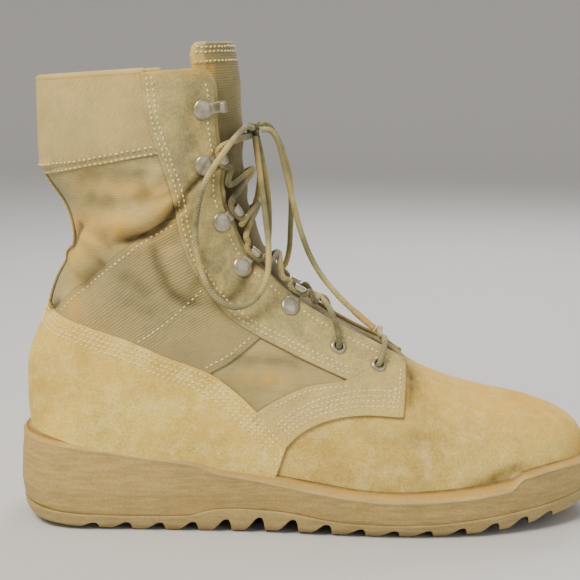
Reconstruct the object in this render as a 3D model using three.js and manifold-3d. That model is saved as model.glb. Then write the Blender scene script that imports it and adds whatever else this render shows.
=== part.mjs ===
// A lace-up combat boot for the right foot, in millimetres: a suede and nylon upper on a moulded
// wedge midsole and a ripple outsole, with eyelets, speed hooks, a tongue, an insole and a tied lace.
// Built with x = 0 at the heel's back and x = SOLE_LENGTH at the toe, y > 0 on the medial side and
// z = 0 on the floor, then moved so that the middle of the boot's footprint is the origin.
import * as THREE from "three";
import { mergeVertices } from "three/addons/utils/BufferGeometryUtils.js";
import Module from "manifold-3d";

const wasm = await Module();
wasm.setup();

// ---- Driving dimensions ----
const SOLE_LENGTH = 310;
const GAP = 0.3; // left between pieces that touch
const WALL = 2.6; // suede or nylon with its lining
const OVERLAY = 1.7; // a suede panel sewn on top
const FULLNESS = 0.9; // below 1 squares the sections, 1 is an ellipse
const TOE_SWING = 7; // how far the toe tip leans to the medial side
const SWING_START = 150;
const INSOLE = 4.5;
const TONGUE = 3.2;
const LACE = 3.0; // diameter
const CORD_SIDES = 6;
const HALF_SPACE = 90; // reaches past either side of the boot

const named = (columns, rows) =>
  rows.map((row) => Object.fromEntries(columns.map((c, i) => [c, row[i]])));

// Sections of the last from the toe tip, round the instep, to the collar. front is the point on the
// ridge, instep or shin, back the point on the feather edge, the heel or the calf. lateral and medial
// are the widest half-widths, close is the angle where the side ends (90 at its widest, 180 at the
// back seam), and gap is half the width of the throat between the facings.
const LAST = named(
  ["frontX", "frontZ", "backX", "backZ", "lateral", "medial", "close", "gap"],
  [
    [304.8, 33.0, 304.5, 24.5, 0.0, 0.0, 92, 0],
    [304.4, 38.5, 303.0, 24.5, 11.5, 11.0, 92, 0],
    [302.6, 45.0, 298.8, 24.3, 21.0, 19.5, 93, 0],
    [297.5, 50.5, 291.5, 24.0, 29.5, 27.0, 94, 0],
    [288.0, 56.0, 281.0, 23.4, 37.5, 33.5, 95, 0],
    [272.5, 61.5, 266.5, 22.4, 43.5, 38.8, 96, 0],
    [253.0, 65.8, 248.0, 21.2, 48.0, 43.0, 97, 0],
    [233.0, 71.4, 226.0, 20.0, 49.8, 45.5, 98, 0],
    [214.0, 79.8, 201.0, 19.5, 49.5, 44.8, 99, 0],
    [196.0, 93.5, 178.0, 20.3, 46.8, 40.8, 100, 13],
    [178.0, 104.5, 155.0, 22.8, 43.2, 37.2, 101, 14],
    [162.0, 116.0, 130.0, 26.6, 40.6, 35.4, 102, 15],
    [149.0, 127.5, 104.0, 30.6, 39.0, 35.0, 104, 16],
    [139.5, 140.0, 77.0, 33.8, 38.2, 35.2, 106, 17],
    [133.5, 151.0, 50.0, 36.0, 37.4, 35.4, 111, 18.5],
    [130.2, 160.0, 28.0, 37.6, 36.8, 35.6, 122, 19.5],
    [128.6, 166.0, 14.0, 38.8, 36.2, 35.4, 146, 20.5],
    [127.8, 170.5, 8.6, 50.0, 35.8, 35.2, 180, 21.2],
    [127.2, 174.5, 7.6, 68.0, 35.4, 34.8, 180, 22],
    [126.6, 178.5, 9.1, 88.0, 35.0, 34.6, 180, 22.8],
    [126.0, 183.0, 16.8, 107.0, 34.6, 34.4, 180, 23.6],
    [125.6, 188.5, 23.4, 127.0, 34.6, 34.4, 180, 24.4],
    [125.2, 195.0, 33.2, 147.0, 35.0, 34.8, 180, 25.2],
    [125.0, 203.0, 30.5, 166.0, 36.0, 35.6, 180, 26.2],
    [124.8, 213.0, 18.2, 187.0, 37.6, 37.0, 180, 27.0],
    [124.4, 225.5, 17.4, 210.0, 38.6, 38.0, 180, 27.4],
    [123.0, 238.0, 16.8, 231.5, 39.0, 38.4, 180, 32],
  ],
);
const THROAT_ROW = 8.35; // where the throat starts, counted in rows of LAST
const THROAT_ROUNDING = 1.1; // rows over which the throat's foot opens
const THROAT_LEAST = 13; // half-width of the throat at its foot
const rowAt = (k) => k / (LAST.length - 1);

// The sole's plan, as half-widths before its ends are rounded.
const SOLE_PLAN = named(
  ["x", "lateral", "medial"],
  [
    [0, 38.0, 37.0],
    [55, 39.2, 37.5],
    [100, 41.4, 36.9],
    [135, 44.2, 38.3],
    [170, 49.6, 43.4],
    [205, 54.4, 49.8],
    [235, 54.8, 51.2],
    [265, 51.6, 47.6],
    [310, 47.0, 41.5],
  ],
);
const HEEL_ROUNDING = 40;
const TOE_ROUNDING = 74;
const END_POWER = 2.3;
const HEEL_TUCK = 1.5; // the heel is drawn in, and the rest of the sole less and less

// Heights along the sole: the tread's envelope, the top of the outsole and the midsole's lip.
const SOLE_HEIGHTS = named(
  ["x", "tread", "outsole", "lip"],
  [
    [-6, 13.0, 13.4, 51.0],
    [6, 5.4, 11.8, 49.6],
    [22, 2.7, 10.3, 48.4],
    [48, 1.3, 9.0, 45.6],
    [74, 0.0, 8.8, 42.6],
    [94, 0.0, 9.6, 41.2],
    [100, 0.0, 11.6, 39.6],
    [108, 0.0, 13.6, 36.8],
    [125, 0.9, 14.0, 34.6],
    [146, 1.2, 12.6, 31.2],
    [164, 0.7, 9.6, 28.4],
    [181, 0.0, 8.0, 26.2],
    [201, 0.0, 7.8, 25.2],
    [221, 0.0, 8.6, 26.0],
    [241, 1.6, 10.6, 27.6],
    [262, 4.2, 12.8, 30.2],
    [284, 7.4, 15.2, 32.8],
    [300, 10.0, 17.6, 32.4],
    [316, 13.0, 20.0, 32.0],
  ],
);
// The side wall's slope, as an inset from the plan at each height.
const WALL_INSET = named(
  ["z", "inset"],
  [
    [-1, 6.4],
    [4, 2.8],
    [10, 1.3],
    [22, 0.0],
    [38, 0.9],
    [54, 2.6],
  ],
);
const RIPPLE_START = 43.6;
const RIPPLE_PITCH = 17.24;
const TOE_SPRING = 240; // where the tread starts to rise, and the ripples to crowd together
const RIPPLE_CROWDING = 0.0023;
const RIPPLE_DEPTHS = [2.4, 3.6, 4.2, 4.8, 7.2, 8.2, 7.6, 6.2, 4.8, 4.2, 4.4, 4.6, 4.6, 4.4, 3.0];
// One ripple's notch: distance from its top along the sole, and its share of the notch's depth.
const RIPPLE_SHAPE = named(
  ["dx", "share"],
  [
    [-7.6, 0],
    [-3.2, 0.42],
    [-0.6, 0.96],
    [1.9, 0.96],
    [3.1, 0],
  ],
);

// Side views of the sewn panels, seen from the lateral side.
const COUNTER_TOP = [
  [17.5, 118], [26, 113.4], [38, 109.7], [64, 101.5], [83, 93], [106, 84], [118, 75.3], [129, 65.2],
  [145, 48.5],
];
const COUNTER_TIP = 144; // where the counter's front corner meets the lip
const QUARTER_BACK = [
  [72.2, 250], [73.4, 235], [75.8, 211], [80.6, 195], [86.5, 176], [90, 155], [98, 133.5], [115, 111.7],
  [146, 93.2], [175.5, 79.2],
];
const QUARTER_WINDOW = [[155, 77.4], [135.6, 69], [129.5, 66]];
const QUARTER_FRONT = [
  [146, 49.5], [151, 53.2], [164.3, 60], [183, 62.9], [203.5, 61.1], [206.5, 92], [214, 104],
];

// ---- Reading the tables ----
const catmull = (a, b, c, d, t) =>
  b + 0.5 * t * (c - a + t * (2 * a - 5 * b + 4 * c - d + t * (3 * b - a - 3 * c + d)));
const mix = THREE.MathUtils.lerp;
const clamp = THREE.MathUtils.clamp;

// A section of the last at u, from 0 at the toe tip to 1 at the collar.
function sectionAt(u) {
  const place = clamp(u, 0, 1) * (LAST.length - 1);
  const i = Math.min(Math.floor(place), LAST.length - 2);
  const t = place - i;
  const row = (k) => LAST[clamp(k, 0, LAST.length - 1)];
  const smooth = (c) => catmull(...[i - 1, i, i + 1, i + 2].map((k) => row(k)[c]), t);
  const straight = (c) => mix(row(i)[c], row(i + 1)[c], t);
  const opening = clamp((place - THROAT_ROW) / THROAT_ROUNDING, 0, 1);
  return {
    frontX: smooth("frontX"),
    frontZ: smooth("frontZ"),
    backX: smooth("backX"),
    backZ: smooth("backZ"),
    lateral: Math.max(smooth("lateral"), 0),
    medial: Math.max(smooth("medial"), 0),
    close: THREE.MathUtils.degToRad(straight("close")),
    gap: opening > 0 ? Math.max(straight("gap"), THROAT_LEAST) * Math.sqrt(1 - (1 - opening) ** 2) : 0,
  };
}

// A smooth value from a table at x, through its rows.
function curve(rows, key, x, column) {
  const passed = rows.filter((row) => row[key] <= x).length;
  const i = clamp(passed - 1, 0, rows.length - 2);
  const slope = (k) => {
    const a = rows[Math.max(k - 1, 0)];
    const b = rows[Math.min(k + 1, rows.length - 1)];
    return (b[column] - a[column]) / (b[key] - a[key]);
  };
  const [a, b] = [rows[i], rows[i + 1]];
  const span = b[key] - a[key];
  const t = clamp((x - a[key]) / span, 0, 1);
  const [m0, m1] = [slope(i) * span, slope(i + 1) * span];
  const [t2, t3] = [t * t, t * t * t];
  const start = (2 * t3 - 3 * t2 + 1) * a[column] + (t3 - 2 * t2 + t) * m0;
  return start + (3 * t2 - 2 * t3) * b[column] + (t3 - t2) * m1;
}

const swing = (x) => TOE_SWING * THREE.MathUtils.smoothstep(x, SWING_START, SOLE_LENGTH);

// ---- The last's surface ----
// side is -1 on the lateral side and 1 on the medial side. turn is the angle from the ridge: the
// half-width grows as its sine, and the way from front to back as one less its cosine.
function skinPoint(u, turn, side) {
  const s = sectionAt(u);
  const share = (1 - Math.cos(turn)) / (1 - Math.cos(s.close));
  const x = mix(s.frontX, s.backX, share);
  const z = mix(s.frontZ, s.backZ, share);
  const half = side < 0 ? s.lateral : s.medial;
  const bulge = Math.abs(Math.sin(turn)) < 1e-9 ? 0 : Math.sin(turn) ** FULLNESS;
  return new THREE.Vector3(x, swing(x) + side * half * bulge, z);
}

// The turn at which the surface is a distance y from the middle plane.
function turnFor(u, side, y) {
  const s = sectionAt(u);
  const half = Math.max(side < 0 ? s.lateral : s.medial, 1e-6);
  return Math.asin(clamp(y / half, 0, 0.999) ** (1 / FULLNESS));
}

// The outward normal, from two small steps on the surface.
function skinNormal(u, turn, side) {
  const step = 1e-3;
  const [low, high] = [Math.max(turn - step, 1e-6), turn + step];
  const along = skinPoint(u + step, turn, side).sub(skinPoint(u - step, turn, side));
  const around = skinPoint(u, high, side).sub(skinPoint(u, low, side));
  return along.cross(around).multiplyScalar(-side).normalize();
}
const skinAt = (u, turn, side, lift) =>
  skinPoint(u, turn, side).addScaledVector(skinNormal(u, turn, side), lift);

// A point at a distance y from the middle plane, lift above the surface, on a row of the table.
function pointAbove(row, y, lift) {
  const side = y < 0 ? -1 : 1;
  const u = Math.min(rowAt(row), 1 - 2e-3);
  return skinAt(u, Math.max(turnFor(u, side, Math.abs(y)), 1e-3), side, lift);
}

// ---- Meshes ----
// Rows of point numbers as triangles, without the ones whose corners are shared.
function gridTriangles(rows, flip = false) {
  const out = [];
  const put = (...corners) => {
    if (new Set(corners).size === 3) out.push(flip ? corners.reverse() : corners);
  };
  for (let i = 0; i + 1 < rows.length; i++)
    for (let j = 0; j + 1 < rows[i].length; j++) {
      put(rows[i][j], rows[i + 1][j], rows[i + 1][j + 1]);
      put(rows[i][j], rows[i + 1][j + 1], rows[i][j + 1]);
    }
  return out;
}

// Grids of points as one surface: points in the same place are joined, and each gets a normal.
// rows holds each grid's point numbers.
function surfaceOf(grids) {
  const points = [];
  const numbers = new Map();
  const numberOf = (p) => {
    const key = p.toArray().map((v) => Math.round(v * 1000)).join();
    if (!numbers.has(key)) numbers.set(key, points.push(p) - 1);
    return numbers.get(key);
  };
  const rows = grids.map(({ grid }) => grid.map((row) => row.map(numberOf)));
  const triangles = grids.flatMap(({ flip }, k) => gridTriangles(rows[k], flip));
  const normals = points.map(() => new THREE.Vector3());
  for (const corners of triangles) {
    const [a, b, c] = corners.map((i) => points[i]);
    const across = b.clone().sub(a).cross(c.clone().sub(a));
    for (const i of corners) normals[i].add(across);
  }
  normals.forEach((n) => n.normalize());
  return { points, normals, triangles, rows };
}

const lifted = ({ points, normals }, offset) =>
  points.map((p, i) => p.clone().addScaledVector(normals[i], offset));

function indexed(points, triangles) {
  const g = new THREE.BufferGeometry();
  g.setAttribute("position", new THREE.Float32BufferAttribute(points.flatMap((p) => p.toArray()), 3));
  g.setIndex(triangles.flat());
  return g;
}

// A wall between two offsets from an open surface, closed along its free edges.
function wallOf(surface, outer, inner) {
  const { triangles } = surface;
  const n = surface.points.length;
  const sides = triangles.flatMap(([a, b, c]) => [[a, b], [b, c], [c, a]]);
  const known = new Set(sides.map(([a, b]) => `${a} ${b}`));
  const free = sides.filter(([a, b]) => !known.has(`${b} ${a}`));
  const rim = free.flatMap(([a, b]) => [[b, a, a + n], [b, a + n, b + n]]);
  const inside = triangles.map(([a, b, c]) => [a + n, c + n, b + n]);
  const points = [...lifted(surface, outer), ...lifted(surface, inner)];
  return indexed(points, [...triangles, ...inside, ...rim]);
}

// ---- Solids ----
// A closed geometry as a solid, with its shared corners joined.
function solidOf(geometry) {
  const bare = new THREE.BufferGeometry().setAttribute("position", geometry.getAttribute("position"));
  bare.setIndex(geometry.index);
  const g = mergeVertices(bare, 1e-4);
  const corners = Array.from(g.index.array);
  const whole = corners.filter((_, i) => {
    const [a, b, c] = corners.slice(i - (i % 3), i - (i % 3) + 3);
    return a !== b && b !== c && c !== a;
  });
  const mesh = new wasm.Mesh({
    numProp: 3,
    vertProperties: new Float32Array(g.getAttribute("position").array),
    triVerts: new Uint32Array(whole),
  });
  return new wasm.Manifold(mesh);
}

function geometryOf(solid) {
  const { vertProperties, triVerts } = solid.getMesh();
  const g = new THREE.BufferGeometry();
  g.setAttribute("position", new THREE.BufferAttribute(vertProperties, 3));
  g.setIndex(new THREE.BufferAttribute(triVerts, 1));
  return g;
}

// A side view, as points [x, z], carried across the boot from one y to another.
function acrossPrism(outline, from = -HALF_SPACE, to = HALF_SPACE) {
  const shape = new THREE.Shape(outline.map(([x, z]) => new THREE.Vector2(x, z)));
  const g = new THREE.ExtrudeGeometry(shape, { depth: to - from, bevelEnabled: false });
  g.rotateX(Math.PI / 2).translate(0, to, 0);
  return solidOf(g);
}

// ---- The upper's forms ----
const TURNS = 8; // facets from the ridge to the feather edge
const RINGS = LAST.map((_, row) => rowAt(row));

// One side of the last, from the ridge to the feather edge or the back seam.
function sideGrid(side) {
  return RINGS.map((u) => {
    const { close } = sectionAt(u);
    return Array.from({ length: TURNS + 1 }, (_, j) => skinPoint(u, (close * j) / TURNS, side));
  });
}
const skin = surfaceOf([-1, 1].map((side) => ({ grid: sideGrid(side), flip: side > 0 })));

// The last grown by an offset, as a filled solid. spill carries it on past the collar and the underside.
function grownLast(offset, spill = 0) {
  const [lateral, medial] = skin.rows;
  const collar = [lateral.at(-1), medial.at(-1)];
  const feather = [lateral.map((row) => row.at(-1)), medial.map((row) => row.at(-1))];
  const points = lifted(skin, offset);
  const beyond = (line, dz) => line.map((i) => points.push(points[i].clone().setZ(points[i].z + dz)) - 1);
  const ends = [];
  if (spill > 0)
    for (const [pair, dz, flips] of [[collar, spill, [false, true]], [feather, -spill, [true, false]]])
      pair.forEach((line, k) => {
        const moved = beyond(line, dz);
        ends.push(...gridTriangles([line, moved], flips[k]));
        pair[k] = moved;
      });
  const caps = [...gridTriangles(collar), ...gridTriangles(feather, true)];
  return solidOf(indexed(points, [...skin.triangles, ...ends, ...caps]));
}

// A solid that opens the throat between the facings. spare widens it, and least is its smallest half-width.
function throatCutter(spare, least) {
  const first = least > 0 ? THROAT_ROW - 1.2 : THROAT_ROW + 0.02;
  const steps = 22;
  const [above, below, over] = [-25, 28, 30];
  const rings = Array.from({ length: steps + 1 }, (_, k) => {
    const s = sectionAt(rowAt(mix(first, LAST.length - 1, k / steps)));
    const half = Math.max(s.gap, least) + spare;
    const front = new THREE.Vector3(s.frontX, swing(s.frontX), s.frontZ);
    const inward = new THREE.Vector3(s.backX - s.frontX, 0, s.backZ - s.frontZ).normalize();
    const corners = [[above, -half], [below, -half], [below, half], [above, half], [above, -half]];
    return corners.map(([depth, y]) => front.clone().addScaledVector(inward, depth).setY(front.y + y));
  });
  const grid = [...rings, rings.at(-1).map((p) => p.clone().setZ(p.z + over))];
  const lid = (ring) => [[ring[0], ring[1]], [ring[3], ring[2]]];
  const { points, triangles } = surfaceOf([
    { grid, flip: false },
    { grid: lid(grid[0]), flip: true },
    { grid: lid(grid.at(-1)), flip: false },
  ]);
  return solidOf(indexed(points, triangles));
}

const SPILL = 12;
const upper = grownLast(0).subtract(grownLast(-WALL, SPILL)).subtract(throatCutter(0, 0));
// The layer that the sewn panels are cut from.
const panelLayer = grownLast(GAP + OVERLAY).subtract(grownLast(GAP, SPILL));

// ---- Sole ----
const SOLE_STATIONS = 22;
const stationX = (k) => (SOLE_LENGTH * (1 - Math.cos((Math.PI * k) / SOLE_STATIONS))) / 2;

// Half-width of the sole's plan at x, with its ends rounded as a superellipse.
function soleHalf(x, side) {
  const end = (distance, length) =>
    distance >= length ? 1 : (1 - (1 - Math.max(distance, 0) / length) ** END_POWER) ** (1 / END_POWER);
  const half = curve(SOLE_PLAN, "x", x, side < 0 ? "lateral" : "medial");
  return half * end(x, HEEL_ROUNDING) * end(SOLE_LENGTH - x, TOE_ROUNDING);
}

// The sole's side wall as a solid, taller than the sole: rings of its plan, each with its own inset.
function soleWall() {
  const ring = (side, { z, inset }) =>
    Array.from({ length: SOLE_STATIONS + 1 }, (_, k) => {
      const x = stationX(k);
      const shrink = 1 - inset / SOLE_PLAN[0].lateral;
      const y = swing(x) + side * soleHalf(x, side) * shrink;
      const forward = mix(HEEL_TUCK + inset, SOLE_LENGTH - inset, x / SOLE_LENGTH);
      return new THREE.Vector3(forward, y, z);
    });
  const [lateral, medial] = [-1, 1].map((side) => WALL_INSET.map((row) => ring(side, row)));
  const { points, triangles } = surfaceOf([
    { grid: lateral, flip: true },
    { grid: medial, flip: false },
    { grid: [lateral[0], medial[0]], flip: false },
    { grid: [lateral.at(-1), medial.at(-1)], flip: true },
  ]);
  return solidOf(indexed(points, triangles));
}

const HEIGHT_STEPS = 28;
const SOLE_SPILL = 6; // the side views reach past both ends of the sole
const soleXs = Array.from({ length: HEIGHT_STEPS + 1 }, (_, k) =>
  mix(-SOLE_SPILL, SOLE_LENGTH + SOLE_SPILL, k / HEIGHT_STEPS),
);
const soleHeight = (x, column) => Math.max(curve(SOLE_HEIGHTS, "x", x, column), 0);
const heightLine = (column, lift = 0) => soleXs.map((x) => [x, soleHeight(x, column) + lift]);

// The tread's line: flat-footed ripples between notches that lean to the toe.
function treadLine() {
  const at = (x) => [x, soleHeight(x, "tread")];
  const heel = [-SOLE_SPILL, 2, 8, 16, 26].map(at);
  const ripples = RIPPLE_DEPTHS.flatMap((depth, k) => {
    const even = RIPPLE_START + k * RIPPLE_PITCH;
    const top = even - RIPPLE_CROWDING * Math.max(even - TOE_SPRING, 0) ** 2;
    return RIPPLE_SHAPE.map(({ dx, share }) => [top + dx, soleHeight(top + dx, "tread") + share * depth]);
  });
  return [...heel, ...ripples, ...[296, 304, SOLE_LENGTH + SOLE_SPILL].map(at)];
}

// The last's underside, from the rows that end on the feather edge.
const FEATHER = LAST.filter((row) => row.close < 150).reverse();
const featherZ = (x) => curve(FEATHER, "backX", x, "backZ");
const footbed = (lift) => soleXs.map((x) => [x, featherZ(x) + lift]);
const ABOVE_SOLE = 60; // higher than the midsole's lip
const aboveFootbed = [
  ...footbed(-GAP), [SOLE_LENGTH + SOLE_SPILL, ABOVE_SOLE], [-SOLE_SPILL, ABOVE_SOLE],
];

const soleBody = soleWall();
const outsole = soleBody.intersect(acrossPrism([...treadLine(), ...heightLine("outsole").reverse()]));
const midsole = soleBody
  .intersect(acrossPrism([...heightLine("outsole", GAP), ...heightLine("lip").reverse()]))
  .subtract(grownLast(2 * GAP).translate([0, 0, -GAP]))
  .subtract(grownLast(-WALL, SPILL).intersect(acrossPrism(aboveFootbed)));

// ---- Insole and tongue ----
const insole = grownLast(-WALL - GAP, SPILL).intersect(
  acrossPrism([...footbed(0), ...footbed(INSOLE).reverse()]),
);

// The tongue lies under the facings. half is half its width, and rise lifts it above the collar.
const TONGUE_ROWS = named(
  ["row", "half", "rise"],
  [
    [7.8, 17, 0],
    [8.8, 20, 0],
    [10, 21, 0],
    [11, 22, 0],
    [12, 23, 0],
    [13, 24, 0],
    [14, 25, 0],
    [15.5, 26.5, 0],
    [17.5, 28, 0],
    [20, 29.5, 0],
    [22, 30.5, 0],
    [23.5, 31.5, 0],
    [25, 32.5, 0],
    [26, 33, 0],
    [26, 32.5, 6],
    [26, 31, 10.5],
    [26, 28, 12.5],
  ],
);
const TONGUE_LEAN = -0.25; // how far it leans back for each millimetre that it rises
const TONGUE_COLUMNS = 6;
const TONGUE_DEPTH = WALL + 4 * GAP; // below the outside of the upper

function tongueGeometry() {
  const grid = TONGUE_ROWS.map(({ row, half, rise }) =>
    Array.from({ length: TONGUE_COLUMNS + 1 }, (_, j) => {
      const y = half * ((2 * j) / TONGUE_COLUMNS - 1);
      const p = pointAbove(row, y, 0);
      return p.add(new THREE.Vector3(TONGUE_LEAN * rise, 0, rise));
    }),
  );
  return wallOf(surfaceOf([{ grid, flip: true }]), -TONGUE_DEPTH, -TONGUE_DEPTH - TONGUE);
}

// ---- Eyelets and hooks ----
// The lacing, from the throat's foot up. row places each along the last, inset is the distance of its
// centre from the middle plane.
const LACING = named(
  ["name", "kind", "row", "inset"],
  [
    ["1", "eyelet", 9.15, 26.4],
    ["2", "eyelet", 10.25, 25.4],
    ["3", "hook", 11.9, 21.2],
    ["4", "hook", 14.15, 23],
    ["5", "hook", 18, 25.2],
    ["6", "hook", 22.55, 30.8],
    ["7", "hook", 24.6, 31.6],
  ],
);
const SIDES = named(["name", "side"], [["lateral", -1], ["medial", 1]]);
const FACING_TOP = 2 * GAP + OVERLAY; // above the outside of the upper

// A frame on the facing at a row: its x to the throat, its z outwards.
function facingFrame({ row, inset }, side) {
  const u = rowAt(row);
  const turn = turnFor(u, side, inset);
  const normal = skinNormal(u, turn, side);
  const nearer = skinPoint(u, turn - 0.05, side).sub(skinPoint(u, turn + 0.05, side));
  const along = normal.clone().cross(nearer).normalize();
  const toThroat = along.clone().cross(normal);
  const origin = skinAt(u, turn, side, FACING_TOP);
  return new THREE.Matrix4().makeBasis(toThroat, along, normal).setPosition(origin);
}

const ROUND = 10; // facets of a turned piece
const turned = (profile, sides) =>
  new THREE.LatheGeometry(profile.map(([r, z]) => new THREE.Vector2(r, z)), sides).rotateX(Math.PI / 2);

const EYELET = { bore: 1.9, barrel: 2.6, flange: 4.3, foot: -FACING_TOP - WALL - GAP };
function eyeletGeometry() {
  const { bore, barrel, flange, foot } = EYELET;
  const profile = [
    [bore, foot],
    [barrel, foot],
    [barrel, 0],
    [flange, 0],
    [flange - 0.7, 0.9],
    [bore, 0.6],
    [bore, foot],
  ];
  return turned(profile, ROUND);
}

// A drill through facing and upper for one eyelet.
const DRILL = { foot: -9, top: 4 };
const drill = () => {
  const radius = EYELET.barrel + GAP;
  const { foot, top } = DRILL;
  return solidOf(turned([[0, foot], [radius, foot], [radius, top], [0, top]], ROUND));
};

const HOOK = { disc: 5.2, width: 5.6, reach: 8.4, height: 3.3, inner: 2.1, outer: 3.0 };
function hookGeometry() {
  const { disc, width, reach, height, inner, outer } = HOOK;
  const button = solidOf(turned([[0, 0], [disc, 0], [disc, 0.6], [disc - 1.2, 1.4], [0, 1.6]], ROUND));
  const arc = (radius, from, to) =>
    Array.from({ length: 5 }, (_, k) => {
      const a = THREE.MathUtils.degToRad(mix(from, to, k / 4));
      return new THREE.Vector2(reach + radius * Math.cos(a), height + radius * Math.sin(a));
    });
  const root = disc - 2;
  const outline = [
    new THREE.Vector2(root, height - outer),
    ...arc(outer, -90, 115),
    ...arc(inner, 115, -90),
    new THREE.Vector2(root, height - inner),
  ];
  const arm = new THREE.ExtrudeGeometry(new THREE.Shape(outline), { depth: width, bevelEnabled: false });
  arm.translate(0, 0, -width / 2).rotateX(Math.PI / 2);
  arm.setIndex(Array.from({ length: arm.getAttribute("position").count }, (_, i) => i));
  return geometryOf(button.add(solidOf(arm)));
}

// ---- Lace ----
// A round cord through points, as a tube with flat ends and a step for each length given.
function cord(points, stepLength) {
  const path = new THREE.CatmullRomCurve3(points, false, "centripetal");
  const steps = Math.ceil(path.getLength() / stepLength);
  const round = new THREE.Shape().absarc(0, 0, LACE / 2, 0, 2 * Math.PI);
  const settings = { extrudePath: path, steps, curveSegments: CORD_SIDES / 2 };
  const tube = new THREE.ExtrudeGeometry(round, settings);
  tube.deleteAttribute("normal").deleteAttribute("uv");
  return mergeVertices(tube, 1e-4);
}

// Where a strand lies, above the outside of the upper: over an eyelet, over a facing's edge and over
// the tongue.
const OVER = { eyelet: FACING_TOP + 3.2, edge: FACING_TOP + LACE / 2 + 1.6, tongue: 0.6 };

// From one lacing row, over the throat, to another: where the strand passes both edges and the middle.
function crossing(from, to, side) {
  const edge = (share, s) => {
    const row = mix(from.row, to.row, share);
    return pointAbove(row, s * sectionAt(rowAt(row)).gap, OVER.edge);
  };
  const middle = pointAbove(mix(from.row, to.row, 0.5), side * 0.5, OVER.tongue);
  return [edge(0.3, side), middle, edge(0.64, -side)];
}

// Round a hook from its lower to its upper side, inside its curl.
function roundHook(row, side) {
  const { reach, width, height } = HOOK;
  const [near, far] = [width / 2 + 1.5, width / 2 + 2.9];
  const stops = [[reach + 2.4, far], [reach - 0.3, near], [reach - 0.3, -near], [reach + 2.4, -far]];
  return stops.map(([x, y]) => new THREE.Vector3(x, side * y, height).applyMatrix4(facingFrame(row, side)));
}

// One strand: out of an eyelet, across to each hook in turn, and up to the knot.
function strand(firstSide, knotEnd) {
  const [, eyelet, ...hooks] = LACING;
  const used = hooks.slice(0, -1); // the top hook is left empty
  const points = [pointAbove(eyelet.row, firstSide * eyelet.inset, OVER.eyelet)];
  let [side, from] = [firstSide, eyelet];
  for (const hook of used) {
    points.push(...crossing(from, hook, side));
    [side, from] = [-side, hook];
    points.push(...roundHook(hook, side));
  }
  points.push(pointAbove(from.row + 0.5, side * 20, OVER.tongue + 1.2), knotEnd(side));
  return solidOf(cord(points, 2.1 * LACE));
}

const KNOT = { centre: new THREE.Vector3(126.6, 0, 205), radius: 4.3 };
const bottomBar = () => {
  const { row, inset } = LACING[0];
  const edge = sectionAt(rowAt(row)).gap + 1;
  const at = (y, lift) => pointAbove(row, y, lift);
  const half = (s) => [at(s * inset, OVER.eyelet), at(s * edge, OVER.edge), at(s * edge * 0.5, 1.8)];
  return cord([...half(-1), at(0, 1.2), ...half(1).reverse()], 2 * LACE);
};

// The bow's cords, from the knot: two loops that come back to it, and two ends.
const BOW = {
  loop_lateral: [
    [126.4, -4.6, 206], [123.6, -14.5, 207], [119.2, -27.5, 203.2], [112.8, -38, 195], [105, -40.6, 183],
    [100.3, -39, 168.6], [98.9, -37, 153.2], [101.8, -36.8, 136], [108, -36.8, 124], [118, -36.6, 118.4],
    [127.4, -34.5, 121.5], [133.6, -31, 131], [135, -26, 145.5], [133.2, -20.5, 162.8], [130.8, -14.5, 180],
    [129, -8, 192.5], [127.7, -2.7, 201.2],
  ],
  loop_medial: [
    [129.9, 2.6, 207.9], [133.6, 7, 207.5], [138.4, 13.6, 201], [142.6, 20.5, 190.5], [145.6, 26, 178],
    [146.4, 29.5, 164], [146, 31.6, 149], [145.2, 33, 137], [142.6, 33.6, 128.3], [138.2, 33.4, 125.4],
    [134.3, 32.4, 129.4], [133.8, 30, 139], [134.4, 26, 151], [134.2, 20.6, 165], [132.8, 15, 179],
    [130.6, 8.4, 191.5], [128.6, 2.4, 201.5],
  ],
  end_lateral: [
    [131.2, -0.6, 205], [135.6, -0.6, 204.6], [139.4, -0.6, 199.5], [142, -0.6, 190], [144.8, -0.6, 178],
    [147.8, -1, 165.5], [151.2, -2, 153], [155.6, -3.6, 141], [161.2, -5.6, 131], [168, -7.8, 122.4],
    [175.2, -10, 115], [182.6, -12.4, 108.6], [189.6, -15, 103],
  ],
  end_medial: [
    [126.2, 4.7, 205.4], [126.6, 10.5, 205.4], [127.8, 17, 201], [129.2, 22.6, 192.6], [129.6, 27, 182.6],
    [128.6, 30.6, 172], [126.6, 33.6, 162], [124, 36, 152.5],
  ],
};

const materialOf = (color, roughness, metalness = 0) =>
  new THREE.MeshStandardMaterial({ color, roughness, metalness });
const MATERIALS = {
  rubber: materialOf("#b99f68", 0.75),
  foam: materialOf("#bca26a", 0.8),
  nylon: materialOf("#a59a6a", 0.9),
  suede: materialOf("#cdb57f", 0.95),
  facing: materialOf("#b6a778", 0.95),
  lining: materialOf("#8d8159", 0.95),
  metal: materialOf("#a9a28a", 0.4, 0.9),
  lace: materialOf("#b5aa80", 0.9),
};

const boot = new THREE.Group();
const inner = new THREE.Group();
boot.add(inner);
function place(name, geometry, material, matrix = new THREE.Matrix4()) {
  const mesh = new THREE.Mesh(geometry, material);
  mesh.name = name;
  mesh.applyMatrix4(matrix);
  inner.add(mesh);
}

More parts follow.
